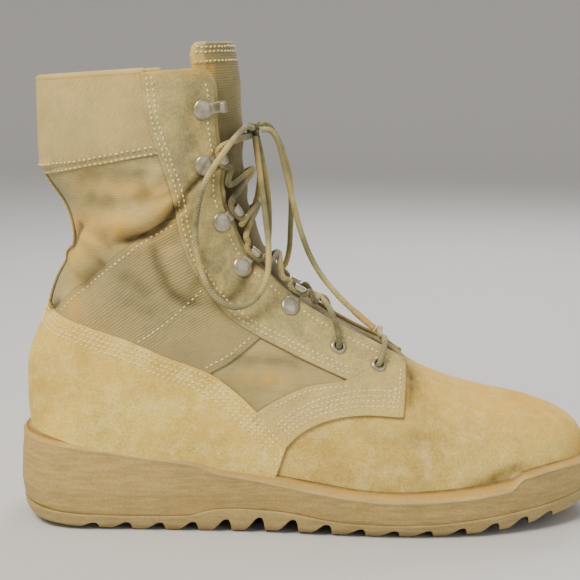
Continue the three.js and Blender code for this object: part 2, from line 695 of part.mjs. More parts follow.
// ---- Upper and its sewn panels ----
const counterPanel = () => {
  const bottom = heightLine("lip", GAP).filter(([x]) => x < COUNTER_TIP);
  const outline = [...COUNTER_TOP, ...bottom.reverse(), [bottom.at(-1)[0], COUNTER_TOP[0][1]]];
  return panelLayer.intersect(acrossPrism(outline));
};
const facingPanel = (side) => {
  const outline = [...QUARTER_BACK, ...QUARTER_WINDOW, ...QUARTER_FRONT, [180, 190], [140, 270], [72, 270]];
  const half = side < 0 ? acrossPrism(outline, -HALF_SPACE, 0) : acrossPrism(outline, 0, HALF_SPACE);
  return panelLayer.intersect(half).subtract(throatCutter(1.2, LAST[9].gap));
};
const boredAt = (solid, side) =>
  LACING.filter((row) => row.kind === "eyelet").reduce(
    (rest, row) => rest.subtract(drill().transform(facingFrame(row, side).elements)),
    solid,
  );

place("outsole", geometryOf(outsole), MATERIALS.rubber);
place("midsole", geometryOf(midsole), MATERIALS.foam);
place("insole", geometryOf(insole), MATERIALS.lining);
place("upper", geometryOf(SIDES.reduce((rest, { side }) => boredAt(rest, side), upper)), MATERIALS.nylon);
place("heel_counter", geometryOf(counterPanel()), MATERIALS.suede);
for (const { name, side } of SIDES)
  place(`facing_${name}`, geometryOf(boredAt(facingPanel(side), side)), MATERIALS.facing);
place("tongue", tongueGeometry(), MATERIALS.lining);
for (const { name, side } of SIDES)
  for (const row of LACING) {
    const geometry = row.kind === "hook" ? hookGeometry() : eyeletGeometry();
    place(`${row.kind}_${name}_${row.name}`, geometry, MATERIALS.metal, facingFrame(row, side));
  }

const knotEnd = (side) =>
  KNOT.centre.clone().add(new THREE.Vector3(-1.4, side * (KNOT.radius - 0.4), -3.1));
place("lace_bar", bottomBar(), MATERIALS.lace);
place("lace_crossings", geometryOf(strand(-1, knotEnd).add(strand(1, knotEnd))), MATERIALS.lace);
const knot = new THREE.SphereGeometry(KNOT.radius, 10, 7);
place("lace_knot", knot, MATERIALS.lace, new THREE.Matrix4().setPosition(KNOT.centre));
for (const [name, route] of Object.entries(BOW)) {
  const points = route.map((p) => new THREE.Vector3(...p));
  place(`lace_${name}`, cord(points, 2.3 * LACE), MATERIALS.lace);
}

// The middle of the sole's footprint becomes the origin.
const footprint = new THREE.Box3().setFromObject(inner.getObjectByName("midsole"));
const middle = footprint.getCenter(new THREE.Vector3());
inner.position.set(-middle.x, -middle.y, 0);

export default boot;
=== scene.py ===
# %% [markdown]
# # A desert combat boot, surface by surface
# The boot stands empty on its rippled sole. Its solids are already packed as a fixed frame, which
# gives every size and place. Here each solid gets the surface of the real thing: napped suede,
# ribbed nylon, a moulded sole, sewn edges and a lace tied in a bow.

# %% Load the frame
import math

import bmesh
import bpy
import numpy as np
from mathutils import Euler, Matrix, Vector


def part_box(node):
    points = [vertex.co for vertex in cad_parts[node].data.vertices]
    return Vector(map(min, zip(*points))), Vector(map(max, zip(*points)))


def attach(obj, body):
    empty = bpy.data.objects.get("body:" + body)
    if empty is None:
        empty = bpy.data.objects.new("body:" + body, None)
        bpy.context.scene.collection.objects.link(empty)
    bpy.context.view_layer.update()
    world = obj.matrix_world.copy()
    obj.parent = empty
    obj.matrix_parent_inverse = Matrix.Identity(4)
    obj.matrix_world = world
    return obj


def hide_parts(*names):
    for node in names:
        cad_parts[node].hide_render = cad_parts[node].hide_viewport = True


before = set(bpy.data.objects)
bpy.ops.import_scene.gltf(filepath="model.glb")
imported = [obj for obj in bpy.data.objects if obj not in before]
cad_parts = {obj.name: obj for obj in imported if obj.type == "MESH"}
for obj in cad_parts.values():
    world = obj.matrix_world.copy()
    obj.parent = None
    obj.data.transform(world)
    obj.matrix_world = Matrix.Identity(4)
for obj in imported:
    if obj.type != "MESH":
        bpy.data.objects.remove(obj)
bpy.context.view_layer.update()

# %% [markdown]
# ## The maker's measures
# A bootmaker measures in millimetres, forward from the back of the heel and up from the floor, with
# y = 0 on the middle plane. The frame is in metres about the sole's middle. The lace's knot is at a
# known place in both, so one shift carries every point from the maker's measures to the frame.

# %% From the maker's millimetres to the frame
MM = 0.001
LATERAL, MEDIAL = -1, 1  # the boot is a right one: the outer side of the foot is on -Y
SIDES = {"lateral": LATERAL, "medial": MEDIAL}
KNOT = np.array([126.6, 0.0, 205.0])
SHIFT = np.mean(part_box("lace_knot"), axis=0) - KNOT * MM


def metres(points):
    """Maker's millimetres times 0.001, plus the shift."""
    return np.asarray(points) * MM + SHIFT


print("shift of the maker's origin:", np.round(SHIFT, 4).tolist())

# %% [markdown]
# ## The camera, the floor and the light
# A long lens from the outer side, tipped a little down, keeps the sole's line nearly straight and
# still shows into the throat. Big soft lamps and a pale floor suit matt leather: a small lamp
# would draw hard shadows that hide the nap.

# %% Camera
PITCH = 10.4  # degrees below level
camera_data = bpy.data.cameras.new("camera")
camera_data.lens = 76.2
camera_data.sensor_width = 36
camera = bpy.data.objects.new("camera", camera_data)
camera.location = (-0.01, -0.6414, 0.238)
camera.rotation_euler = Euler((math.radians(90 - PITCH), 0, 0))
bpy.context.scene.collection.objects.link(camera)
bpy.context.scene.camera = camera
print("camera looks down by", PITCH, "degrees")


# %% Colours and nodes
def linear(code):
    """sRGB hex to linear light: c / 12.92 when dark, else ((c + 0.055) / 1.055) to the power 2.4."""
    levels = [int(code[i : i + 2], 16) / 255 for i in (1, 3, 5)]
    return [c / 12.92 if c <= 0.04045 else ((c + 0.055) / 1.055) ** 2.4 for c in levels] + [1.0]


def node(tree, kind, links=(), out=0, **settings):
    """Adds one node and returns one of its outputs.

    links gives a number, a colour or another node's output for each socket, in order or by name.
    """
    made = tree.nodes.new(kind)
    for key, value in settings.items():
        setattr(made, key, value)
    for socket, value in links.items() if isinstance(links, dict) else enumerate(links):
        if isinstance(value, bpy.types.NodeSocket):
            tree.links.new(value, made.inputs[socket])
        else:
            made.inputs[socket].default_value = value
    return made.outputs[out]


def material(name, values):
    """A new material, its nodes and its shader, with values for the shader's own sockets."""
    made = bpy.data.materials.new(name)
    made.use_nodes = True
    shader = made.node_tree.nodes["Principled BSDF"]
    for socket, value in values.items():
        shader.inputs[socket].default_value = value
    return made, made.node_tree, shader


# %% The floor, which turns up into a low wall all round, so that no horizon shows
SWEEP_START, SWEEP_RADIUS, SWEEP_STEPS, SWEEP_SIDES = 2.2, 0.9, 12, 96
bend = np.linspace(0, np.pi / 2, SWEEP_STEPS)
sweep_r = np.concatenate([[0.02], SWEEP_START + SWEEP_RADIUS * np.sin(bend)])
sweep_z = np.concatenate([[0.0], SWEEP_RADIUS * (1 - np.cos(bend))])
around = np.linspace(0, 2 * np.pi, SWEEP_SIDES, endpoint=False)
rings = [sweep_r[:, None] * np.cos(around), sweep_r[:, None] * np.sin(around), sweep_z[:, None] + 0 * around]
index = np.arange(rings[0].size).reshape(rings[0].shape)
beyond = np.roll(index, -1, axis=1)
quads = np.stack([index[:-1], beyond[:-1], beyond[1:], index[1:]], -1).reshape(-1, 4)
floor_mesh = bpy.data.meshes.new("floor")
floor_mesh.from_pydata(np.stack(rings, -1).reshape(-1, 3).tolist(), [], quads.tolist() + [index[0].tolist()])
floor_mesh.polygons.foreach_set("use_smooth", np.ones(len(floor_mesh.polygons), bool))
floor = bpy.data.objects.new("floor", floor_mesh)
bpy.context.scene.collection.objects.link(floor)
FLOOR_PAINT = material("matt floor paint", {"Base Color": linear("#C4C4C6"), "Roughness": 0.9})[0]
floor_mesh.materials.append(FLOOR_PAINT)
print("floor sweep:", len(floor_mesh.polygons), "faces")

# %% The light
world = bpy.data.worlds.new("studio")
world.use_nodes = True
world.node_tree.nodes["Background"].inputs["Color"].default_value = linear("#F1ECE2")
world.node_tree.nodes["Background"].inputs["Strength"].default_value = 0.66
bpy.context.scene.world = world

# Each lamp: watts, width in metres, place, and the tint of its light.
LAMPS = {
    "key": (29, 0.55, (-0.6, -0.75, 1.25), "#FFF6E4"),
    "fill": (5, 1.2, (1.0, -1.0, 0.6), "#F2F6FF"),
    "rim": (11, 0.8, (0.3, 0.9, 1.0), "#FFFFFF"),
}
for name, (watts, width, place, tint) in LAMPS.items():
    lamp = bpy.data.lights.new(name, "AREA")
    lamp.energy, lamp.size, lamp.color = watts, width, linear(tint)[:3]
    holder = bpy.data.objects.new(name, lamp)
    holder.location = place
    aim = np.array([0, 0, 0.1]) - place
    holder.rotation_euler = Euler((math.acos(-aim[2] / np.linalg.norm(aim)), 0, math.atan2(-aim[0], aim[1])))
    bpy.context.scene.collection.objects.link(holder)
print("lamps:", ", ".join(LAMPS))

# %% [markdown]
# ## The last
# A boot is pulled over a last, the solid form of a foot. Its surface is read as a fan of sections
# that swings from the toe cap round the ankle to the collar. One section runs from its front point,
# on the ridge, to its back point, and its half-width grows as a sine of the turn from the ridge.
# A sculpted mesh would look alike, but a formula also gives the normal and the place of every sewn
# edge, so that panels and stitches all lie on one surface.

# %% The table of sections, in millimetres and degrees
# Each row: ridge x and z, back x and z, half-width to the lateral and the medial side, the turn at
# which the section closes, and half of the throat's opening.
LAST = np.array([
    (304.8, 33, 304.5, 24.5, 0, 0, 92, 0),
    (304.4, 38.5, 303, 24.5, 11.5, 11, 92, 0),
    (302.6, 45, 298.8, 24.3, 21, 19.5, 93, 0),
    (297.5, 50.5, 291.5, 24, 29.5, 27, 94, 0),
    (288, 56, 281, 23.4, 37.5, 33.5, 95, 0),
    (272.5, 61.5, 266.5, 22.4, 43.5, 38.8, 96, 0),
    (253, 65.8, 248, 21.2, 48, 43, 97, 0),
    (233, 71.4, 226, 20, 49.8, 45.5, 98, 0),
    (214, 79.8, 201, 19.5, 49.5, 44.8, 99, 0),
    (196, 93.5, 178, 20.3, 46.8, 40.8, 100, 13),
    (178, 104.5, 155, 22.8, 43.2, 37.2, 101, 14),
    (162, 116, 130, 26.6, 40.6, 35.4, 102, 15),
    (149, 127.5, 104, 30.6, 39, 35, 104, 16),
    (139.5, 140, 77, 33.8, 38.2, 35.2, 106, 17),
    (133.5, 151, 50, 36, 37.4, 35.4, 111, 18.5),
    (130.2, 160, 28, 37.6, 36.8, 35.6, 122, 19.5),
    (128.6, 166, 14, 38.8, 36.2, 35.4, 146, 20.5),
    (127.8, 170.5, 8.6, 50, 35.8, 35.2, 180, 21.2),
    (127.2, 174.5, 7.6, 68, 35.4, 34.8, 180, 22),
    (126.6, 178.5, 9.1, 88, 35, 34.6, 180, 22.8),
    (126, 183, 16.8, 107, 34.6, 34.4, 180, 23.6),
    (125.6, 188.5, 23.4, 127, 34.6, 34.4, 180, 24.4),
    (125.2, 195, 33.2, 147, 35, 34.8, 180, 25.2),
    (125, 203, 30.5, 166, 36, 35.6, 180, 26.2),
    (124.8, 213, 18.2, 187, 37.6, 37, 180, 27),
    (124.4, 225.5, 17.4, 210, 38.6, 38, 180, 27.4),
    (123, 238, 16.8, 231.5, 39, 38.4, 180, 27.6),
])
COLLAR = len(LAST) - 1
FULLNESS = 0.9  # below 1 squares the sections
TOE_SWING = 7.0  # mm by which the toe leans to the medial side
SWING_START, SOLE_LENGTH = 150.0, 310.0  # mm from the back of the heel
THROAT_ROW, THROAT_ROUNDING, THROAT_LEAST = 8.35, 1.1, 13.0  # row, rows of its round foot, least half in mm
CORNER_ROWS, CORNER_RADIUS = 0.9, 5.7  # the rounded top corners of the throat
WALL = 2.6  # mm of suede or nylon with its lining


# %% Reading a section
def section(row):
    """A Catmull-Rom curve through the table's rows: b + t(c - a)/2 + and so on, for all rows at once."""
    row = np.clip(row, 0, COLLAR)
    i = np.minimum(np.floor(row).astype(int), COLLAR - 1)
    t = (row - i)[..., None]
    a, b, c, d = (LAST[np.clip(i + k, 0, COLLAR)] for k in (-1, 0, 1, 2))
    smooth = b + 0.5 * t * (c - a + t * (2 * a - 5 * b + 4 * c - d + t * (3 * b - a - 3 * c + d)))
    straight = b + t * (c - b)
    opening = np.clip((row - THROAT_ROW) / THROAT_ROUNDING, 0, 1)
    gap = np.maximum(straight[..., 7], THROAT_LEAST) * np.sqrt(1 - (1 - opening) ** 2)
    corner = np.clip((row - COLLAR) / CORNER_ROWS + 1, 0, 1)
    gap = gap + CORNER_RADIUS * (1 - np.sqrt(1 - corner**2))
    widths = np.maximum(smooth[..., 4:6], 0)
    return smooth[..., 0:2], smooth[..., 2:4], widths, np.radians(straight[..., 6]), gap


def smoothstep(x, start, end):
    """t squared times (3 - 2t), where t goes from 0 at start to 1 at end."""
    t = np.clip((x - start) / (end - start), 0, 1)
    return t * t * (3 - 2 * t)


def bell(values, middle, width):
    """1 at the middle, and e to the power -((v - middle) / width) squared away from it."""
    return np.exp(-(((values - middle) / width) ** 2))


def swing(x):
    """How far the middle of the foot leans to the medial side at a distance x from the heel."""
    return TOE_SWING * smoothstep(x, SWING_START, SOLE_LENGTH)


def skin(row, turn):
    """The last's point on a row, turn radians from the ridge: plus turns to the lateral side.

    The way from ridge to back is (1 - cos turn) / (1 - cos close), and y is the half-width times
    the sine of the turn to the power FULLNESS. A turn past half round comes back on the other side.
    """
    ridge, back, widths, close, _ = section(row)
    wrapped = (turn + np.pi) % (2 * np.pi) - np.pi
    angle = np.abs(wrapped)
    share = ((1 - np.cos(angle)) / (1 - np.cos(close)))[..., None]
    xz = ridge + (back - ridge) * share
    half = np.where(wrapped >= 0, -widths[..., 0], widths[..., 1])
    y = swing(xz[..., 0]) + half * np.abs(np.sin(angle)) ** FULLNESS
    return np.stack([xz[..., 0], y, xz[..., 1]], -1)


def unit(vectors):
    """Each vector over its own length."""
    return vectors / np.maximum(np.linalg.norm(vectors, axis=-1, keepdims=True), 1e-9)


def normal(row, turn):
    """The cross product of the steps along the rows and round the turn."""
    row = np.clip(row, 0.05, COLLAR - 0.02)
    up = skin(row + 0.02, turn) - skin(row - 0.02, turn)
    around = skin(row, turn + 0.01) - skin(row, turn - 0.01)
    return unit(np.cross(up, around))


def turn_at(row, y, side):
    """The turn at which the surface is y from the middle: the inverse of y over half-width."""
    widths = section(row)[2]
    half = np.maximum(widths[..., 0 if side == LATERAL else 1], 1e-6)
    return -side * np.arcsin(np.clip(np.abs(y) / half, 0, 0.999) ** (1 / FULLNESS))


print("collar is row", COLLAR, "and its ridge is at", np.round(skin(np.array(COLLAR), np.array(0.0)), 1))

# %% [markdown]
# ## Creases, dirt, painted shade and stains
# A worn shaft folds where the ankle bends. Each fold is placed as a soft ridge or trough
# along a short line in the side view, and the same table says how much dirt and painted shade
# darken it. All pieces share this relief, so a fold runs on from the cloth into the panels sewn over it.

# %% The creases: height in mm, width in mm, dirt and painted shade from 0 to 1, and the line's x and z
CREASES = [
    (-4.4, 1.9, 1.0, [
        (97, 174), (92, 170), (88.6, 167.5), (82.9, 160), (76.9, 155.6), (68, 153), (56, 149.5),
    ]),
    (4.6, 5.6, 0.0, [(92, 179), (88, 171), (78, 164.5), (67.6, 161), (56.5, 159.8), (44, 162)]),
    (-2.4, 4.2, 0.3, [(58, 149.5), (50.3, 147), (41, 140)]),
    (-2.0, 4.2, 0.4, [(38, 184), (50, 181.5), (61, 181.5), (69, 184.5)]),
    (2.4, 4.0, 0.0, [(47, 177.5), (60.4, 175.7), (67.1, 175.5), (76, 180), (84, 179.5)]),
    (-1.7, 3.2, 0.3, [(70.5, 188), (72.3, 181.2), (74, 174), (70, 168)]),
    (-1.2, 3.6, 0.35, [(42, 172), (52, 169.5), (62, 170)]),
    (1.6, 4.2, 0.0, [(82, 190), (80, 181), (84, 173)]),
    (-3.0, 2.6, 0.75, [(53, 142), (48, 136), (44, 131.5), (38, 126)]),
    (2.4, 5.0, 0.0, [(46, 153), (39.5, 143.3), (32, 135)]),
    (-1.8, 1.5, 1.0, [(40.5, 160), (37.6, 155), (35.8, 149), (33, 142)]),
    (1.4, 1.6, 0.0, [(12, 188.4), (18, 187.4), (28, 189)]),
    (-0.3, 1.1, 0.45, [(84, 197.6), (82, 197.3), (62.3, 194), (41.1, 189.8), (21, 186.2), (14, 184.6)]),
    (-1.2, 1.6, 0.9, [(28, 119), (24, 116), (21, 112)]),
    (-1.7, 2.3, 0.8, [(78, 154), (78, 147), (80, 139), (83.4, 130), (88, 123.4), (94, 119.4), (106, 119)]),
    (1.6, 5.0, 0.0, [(86, 150), (88, 140), (92, 131), (100, 127)]),
    (-1.1, 3.0, 0.35, [(60, 135), (70, 128), (77, 121)]),
    (-0.8, 2.4, 0.2, [(62, 122), (70, 117), (80, 112)]),
    (-2.2, 1.25, 1.0, [(116, 200), (112.5, 196), (107.8, 190), (102.6, 184.4), (97.5, 179.3), (91, 171)]),
    (1.6, 3.6, 0.0, [(113, 190), (113.5, 180), (113, 170)]),
    (-1.0, 2.6, 0.45, [(107, 186), (108.5, 178), (107, 170)]),
    (-0.9, 3.0, 0.35, [(101, 226), (97, 214), (98, 203), (96, 193)]),
    # The next line, below the bow's lateral loop, is a painted shadow of that loop, laid on as a dark
    # trough.
    (-1.2, 2.6, 0.8, [(128, 142), (124.5, 134), (121, 127), (116, 121.6), (108, 119)]),
    (-1.0, 2.6, 0.45, [(112, 90.5), (126, 90.2), (140, 89.6), (156, 87)]),
    (1.0, 4.0, 0.0, [(112, 84), (126, 83), (142, 81.5)]),
    (-0.6, 2.0, 0.6, [(207, 92), (208.6, 83), (208.6, 76), (207.5, 62)]),
    (-0.4, 3.4, 0.55, [(208, 80), (211.5, 76.5), (211, 72)]),
    (-0.8, 6.0, 0.1, [(218, 72), (215, 58), (208, 42)]),
    (0.8, 6.0, 0.0, [(228, 72), (226, 56), (219, 40)]),
    (-0.5, 4.5, 0.2, [(176, 56), (196, 50), (220, 50)]),
    (-0.7, 2.2, 0.6, [(236, 26), (243, 27), (250, 29), (257, 31.2), (262, 33.4), (268, 35)]),
    (-0.4, 1.6, 0.4, [(246, 30), (252, 33), (258, 35.4), (266, 36.8)]),
]
CREASE_ENDS = 0.22  # of a crease's length, over which it fades out
MEDIAL_SHARE = 0.7  # the medial side is folded less
DIRT_AND_SHADE_KEPT = 0.2  # of a crease's dirt and painted shade, which stays where the crease fades out
DIRT_AND_SHADE_WIDTH = 0.85  # of a crease's width


def beside(line, x, z):
    """Distance of each point from a line of straight pieces, and how far along it the nearest is."""
    line = np.asarray(line, float)
    steps = np.linalg.norm(np.diff(line, axis=0), axis=1)
    starts = np.concatenate([[0], np.cumsum(steps)])
    distance = np.full(x.shape, np.inf)
    place = np.zeros(x.shape)
    for (ax, az), (bx, bz), step, start in zip(line[:-1], line[1:], steps, starts):
        t = np.clip(((x - ax) * (bx - ax) + (z - az) * (bz - az)) / step**2, 0, 1)
        away = np.hypot(x - ax - t * (bx - ax), z - az - t * (bz - az))
        place = np.where(away < distance, (start + t * step) / starts[-1], place)
        distance = np.minimum(distance, away)
    return distance, place


def relief(row, turn):
    """Height of the creases above the last, and the dirt and painted shade in them: sums of bell curves."""
    points = skin(row, turn)
    x, z = points[..., 0], points[..., 2]
    weight = MEDIAL_SHARE + (1 - MEDIAL_SHARE) * smoothstep(np.sin(turn), -0.5, 0.5)
    height, dirt_and_shade = np.zeros(x.shape), np.zeros(x.shape)
    for size, width, soil_and_shade, line in CREASES:
        distance, place = beside(line, x, z)
        fade = smoothstep(np.minimum(place, 1 - place), 0, CREASE_ENDS)
        height += weight * size * fade * np.exp(-((distance / width) ** 2) / 2)
        kept = DIRT_AND_SHADE_KEPT + (1 - DIRT_AND_SHADE_KEPT) * fade
        dirt_and_shade += weight * soil_and_shade * kept * np.exp(-((distance / (DIRT_AND_SHADE_WIDTH * width)) ** 2) / 2)
    return height, np.clip(dirt_and_shade, 0, 1)


# %% The stains: x, z, reach along and up in mm, strength
STAINS = [
    (57, 158, 27, 9, 1.0), (84, 171, 8, 9, 0.8), (38, 147, 9, 15, 1.0), (64, 177.5, 12, 4, 0.8),
    (46, 180, 8, 6, 0.4), (36, 118, 6, 8, 0.6), (131, 81.5, 14, 4, 0.8), (17, 208, 6, 26, 0.6),
    (46, 233.5, 40, 3, 0.6), (34, 103, 16, 7, 0.6), (60, 84, 26, 9, 0.6), (108, 58, 26, 9, 0.4),
    # The stain at (222, 78), along the vamp's ridge, is painted shade of the vamp's far side, laid on in the
    # dust's orange.
    (22, 66, 9, 26, 0.6), (246, 66, 40, 9, 0.8), (222, 78, 16, 8, 0.8), (280, 56, 26, 9, 1.0),
    (302, 40, 8, 12, 0.8), (150, 56, 12, 4, 0.4), (118, 182, 5, 12, 0.4), (102, 236, 10, 4, 0.7),
    (128, 166, 10, 7, 0.4), (175, 45, 30, 8, 0.25),
]


def stain(row, turn):
    """A sum of bell curves in the side view, strongest at 1."""
    points = skin(row, turn)
    x, z = points[..., 0], points[..., 2]
    total = sum(s * np.exp(-(((x - cx) / rx) ** 2) - ((z - cz) / rz) ** 2) for cx, cz, rx, rz, s in STAINS)
    return np.clip(total, 0, 1)


# %% [markdown]
# ## Where the lacing goes
# Two eyelets at the bottom of each facing, then five speed hooks. Each has a row of the last and a
# distance from the middle plane. At an eyelet all layers dip into its hole, under the flange.

# %% The places of eyelets and hooks: row, and distance from the middle plane in mm
EYELETS = {"1": (9.15, 26.4), "2": (10.25, 25.4)}
HOOKS = {"3": (11.9, 21.2), "4": (14.15, 23), "5": (18, 25.2), "6": (22.55, 30.8), "7": (24.6, 31.6)}
PIT_DEPTH, PIT_INNER, PIT_OUTER = 5.4, 2.3, 3.9  # mm


def pits(points):
    """How far the layers dip: the depth, fading out between two distances from a hole's middle."""
    depth = np.zeros(points.shape[:-1])
    for row, inset in EYELETS.values():
        for side in SIDES.values():
            middle = skin(np.array(row), turn_at(np.array(row), inset, side))
            away = np.linalg.norm(points - middle, axis=-1)
            depth = np.maximum(depth, PIT_DEPTH * (1 - smoothstep(away, PIT_INNER, PIT_OUTER)))
    return depth


def shell(row, turn, lift, holes=0.0):
    """A point over the creased surface: the skin plus its normal times lift, relief and holes."""
    flat = skin(row, turn)
    height = lift + relief(row, turn)[0]
    if holes:
        height = height - holes * pits(flat)
    return flat + normal(row, turn) * height[..., None]


print(len(CREASES), "creases and", len(STAINS), "stains")


# %% [markdown]
# ## Lines on the boot
# Every seam starts as a few points in the side view. A smooth curve runs through them, and locate()
# finds which row and turn of the last each point is on. On the medial side the turn is negative.

# %% Smooth lines and their place on the last
def spline(points, count=200):
    """A centripetal Catmull-Rom curve: each span's tangents use the roots of the distances."""
    p = np.asarray(points, float)
    p = np.concatenate([[2 * p[0] - p[1]], p, [2 * p[-1] - p[-2]]])
    knots = np.maximum(np.linalg.norm(np.diff(p, axis=0), axis=1), 1e-6)[:, None] ** 0.5
    before, here, after = knots[:-2], knots[1:-1], knots[2:]
    a, b, c, d = p[:-3], p[1:-2], p[2:-1], p[3:]
    m0 = ((b - a) / before - (c - a) / (before + here) + (c - b) / here) * here
    m1 = ((c - b) / here - (d - b) / (here + after) + (d - c) / after) * here
    t = np.linspace(0, 1, count, endpoint=False)[None, :, None]
    cubic = lambda q: q[:, None, :]
    spans = (
        cubic(b) + cubic(m0) * t
        + cubic(3 * (c - b) - 2 * m0 - m1) * t**2
        + cubic(2 * (b - c) + m0 + m1) * t**3
    )
    return np.concatenate([spans.reshape(-1, p.shape[1]), p[-2:-1]])


def lengths(line):
    """The distance along a line at each of its points."""
    return np.concatenate([[0], np.cumsum(np.linalg.norm(np.diff(line, axis=0), axis=1))])


def resample(line, count=None, at=None):
    """A line's points at even distances, or at the given distances."""
    along = lengths(line)
    at = np.linspace(0, along[-1], count) if at is None else at
    return np.stack([np.interp(at, along, column) for column in line.T], -1)


SEARCH_ROWS = np.linspace(0, COLLAR, 1041)


def locate(points):
    """Row and turn of points in the side view: the section whose line passes through each one."""
    ridge, back, _, close, _ = section(SEARCH_ROWS)
    way = back - ridge
    offset = points[:, None, :] - ridge[None]
    side_of = way[:, 0] * offset[..., 1] - way[:, 1] * offset[..., 0]
    share = np.sum(offset * way, -1) / np.sum(way * way, -1)
    crosses = side_of[:, :-1] * side_of[:, 1:] <= 0
    cost = np.maximum(np.maximum(-share, share - 1), 0)[:, :-1] + np.where(crosses, 0, 1e3)
    j = np.argmin(cost, axis=1)
    every = np.arange(len(points))
    a, b = side_of[every, j], side_of[every, j + 1]
    t = np.clip(a / np.where(a == b, 1, a - b), 0, 1)
    row = SEARCH_ROWS[j] + t * (SEARCH_ROWS[1] - SEARCH_ROWS[0])
    s = np.clip(share[every, j] + t * (share[every, j + 1] - share[every, j]), 0, 1)
    turn = np.arccos(np.clip(1 - s * (1 - np.cos(close[j])), -1, 1))
    return np.stack([row, turn], -1)


def side_line(points, count=120, inward=0.0):
    """A smooth line in the side view, moved inward to its left by some mm, as rows and turns."""
    line = resample(spline(points, 24), count)
    tangent = unit(np.gradient(line, axis=0))
    return locate(line + inward * np.stack([-tangent[:, 1], tangent[:, 0]], -1))


def on_side(line, side):
    """A lateral line of rows and turns, or its mirror: a medial turn is negative."""
    return line * [1, 1 if side == LATERAL else -1]


def round_the_back(line):
    """A lateral line that ends on the back seam, carried on to its mirror on the medial side."""
    mirror = np.stack([line[::-1, 0], 2 * np.pi - line[::-1, 1]], -1)
    return np.concatenate([line, mirror[1:]])


def rows_line(rows, turn_of):
    """A line with a turn worked out for each of its rows."""
    return np.stack([rows, turn_of(rows)], -1)


heel_point = locate(np.array([[17.5, 118.0]]))[0]
print("the counter's top at the back is on row", round(float(heel_point[0]), 2))


# %% [markdown]
# ## Meshes from grids
# Every piece is one or more grids of points. Neighbours in a grid make quads, points that coincide
# are merged, so that grids close on each other, and then all faces are turned outward.

# %% Grids into a piece
def new_piece(name, grids, material, nodes=(), uvs=None, marks=None, zones=None, crisp=None):
    """Joins grids of points in the maker's mm into one mesh that rides on the boot."""
    corners, first = [], 0
    for grid in grids:
        index = first + np.arange(grid.shape[0] * grid.shape[1]).reshape(grid.shape[:2])
        quad = [index[:-1, :-1], index[1:, :-1], index[1:, 1:], index[:-1, 1:]]
        corners.append(np.stack(quad, -1).reshape(-1, 4))
        first += index.size
    faces = np.concatenate(corners)
    points = metres(np.concatenate([grid.reshape(-1, 3) for grid in grids]))
    mesh = bpy.data.meshes.new(name)
    mesh.from_pydata(points.tolist(), [], faces.tolist())
    for one in material if isinstance(material, (list, tuple)) else [material]:
        mesh.materials.append(one)
    if uvs is not None:
        flat = np.concatenate([uv.reshape(-1, 2) for uv in uvs]) * MM
        mesh.uv_layers.new(name="cloth").data.foreach_set("uv", flat[faces.ravel()].ravel())
    for mark, values in (marks or {}).items():
        layer = mesh.attributes.new(mark, "FLOAT", "POINT")
        layer.data.foreach_set("value", np.concatenate([v.ravel() for v in values]))
    if zones is not None:
        mesh.polygons.foreach_set("material_index", np.concatenate([z.ravel() for z in zones]).astype(int))
    mesh.polygons.foreach_set("use_smooth", np.ones(len(faces), bool))
    bm = bmesh.new()
    bm.from_mesh(mesh)
    bmesh.ops.remove_doubles(bm, verts=bm.verts, dist=2e-6)
    bmesh.ops.recalc_face_normals(bm, faces=bm.faces)
    bm.to_mesh(mesh)
    bm.free()
    if crisp:
        mesh.set_sharp_from_angle(angle=math.radians(crisp))
    piece = bpy.data.objects.new(name, mesh)
    bpy.context.scene.collection.objects.link(piece)
    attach(piece, "root")
    if nodes:
        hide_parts(*nodes)
    print(f"{name}: {len(mesh.polygons)} faces")
    return piece


def grid_uv(points):
    """Distance along the middle line of a grid, and across it from its first column, in mm."""
    along = np.cumsum(np.linalg.norm(np.diff(points, axis=0, prepend=points[:1]), axis=-1), axis=0)
    across = np.cumsum(np.linalg.norm(np.diff(points, axis=1, prepend=points[:, :1]), axis=-1), axis=1)
    middle = points.shape[1] // 2
    return np.stack([along[:, middle : middle + 1] + 0 * across, across], -1)


BORDER = np.array([0, 0.12, 0.35, 0.7, 1.1, 1.7])  # mm from a cut edge


def edge_places(width, inner):
    """Places from 0 to 1 across a width in mm: close together by both edges, even between them."""
    start = BORDER / width
    between = np.linspace(start[-1], 1 - start[-1], inner)
    return np.concatenate([start[:-1], between, (1 - start[:-1])[::-1]])


FAR = 9  # mm: what counts as far from any cut edge
EDGE_SHADE_AND_GRIME, EDGE_SHADE_REACH = 0.85, 0.4  # painted shadow and dirt along a cut edge, and how many mm it reaches
SEWN_DOWN = -0.1  # mm: a panel's underside is pressed into what it is sewn to
CROWN_ENDS = 0.3  # a power below 1 keeps the crown full until near its ends


def even_marks(grids, dirt_and_shade, dust, inset=FAR):
    """The same marks all over: one value for every point of every grid."""
    return {mark: [np.full(grid.shape[:2], float(value)) for grid in grids]
            for mark, value in (("dirt_and_shade", dirt_and_shade), ("dust", dust), ("inset", inset))}


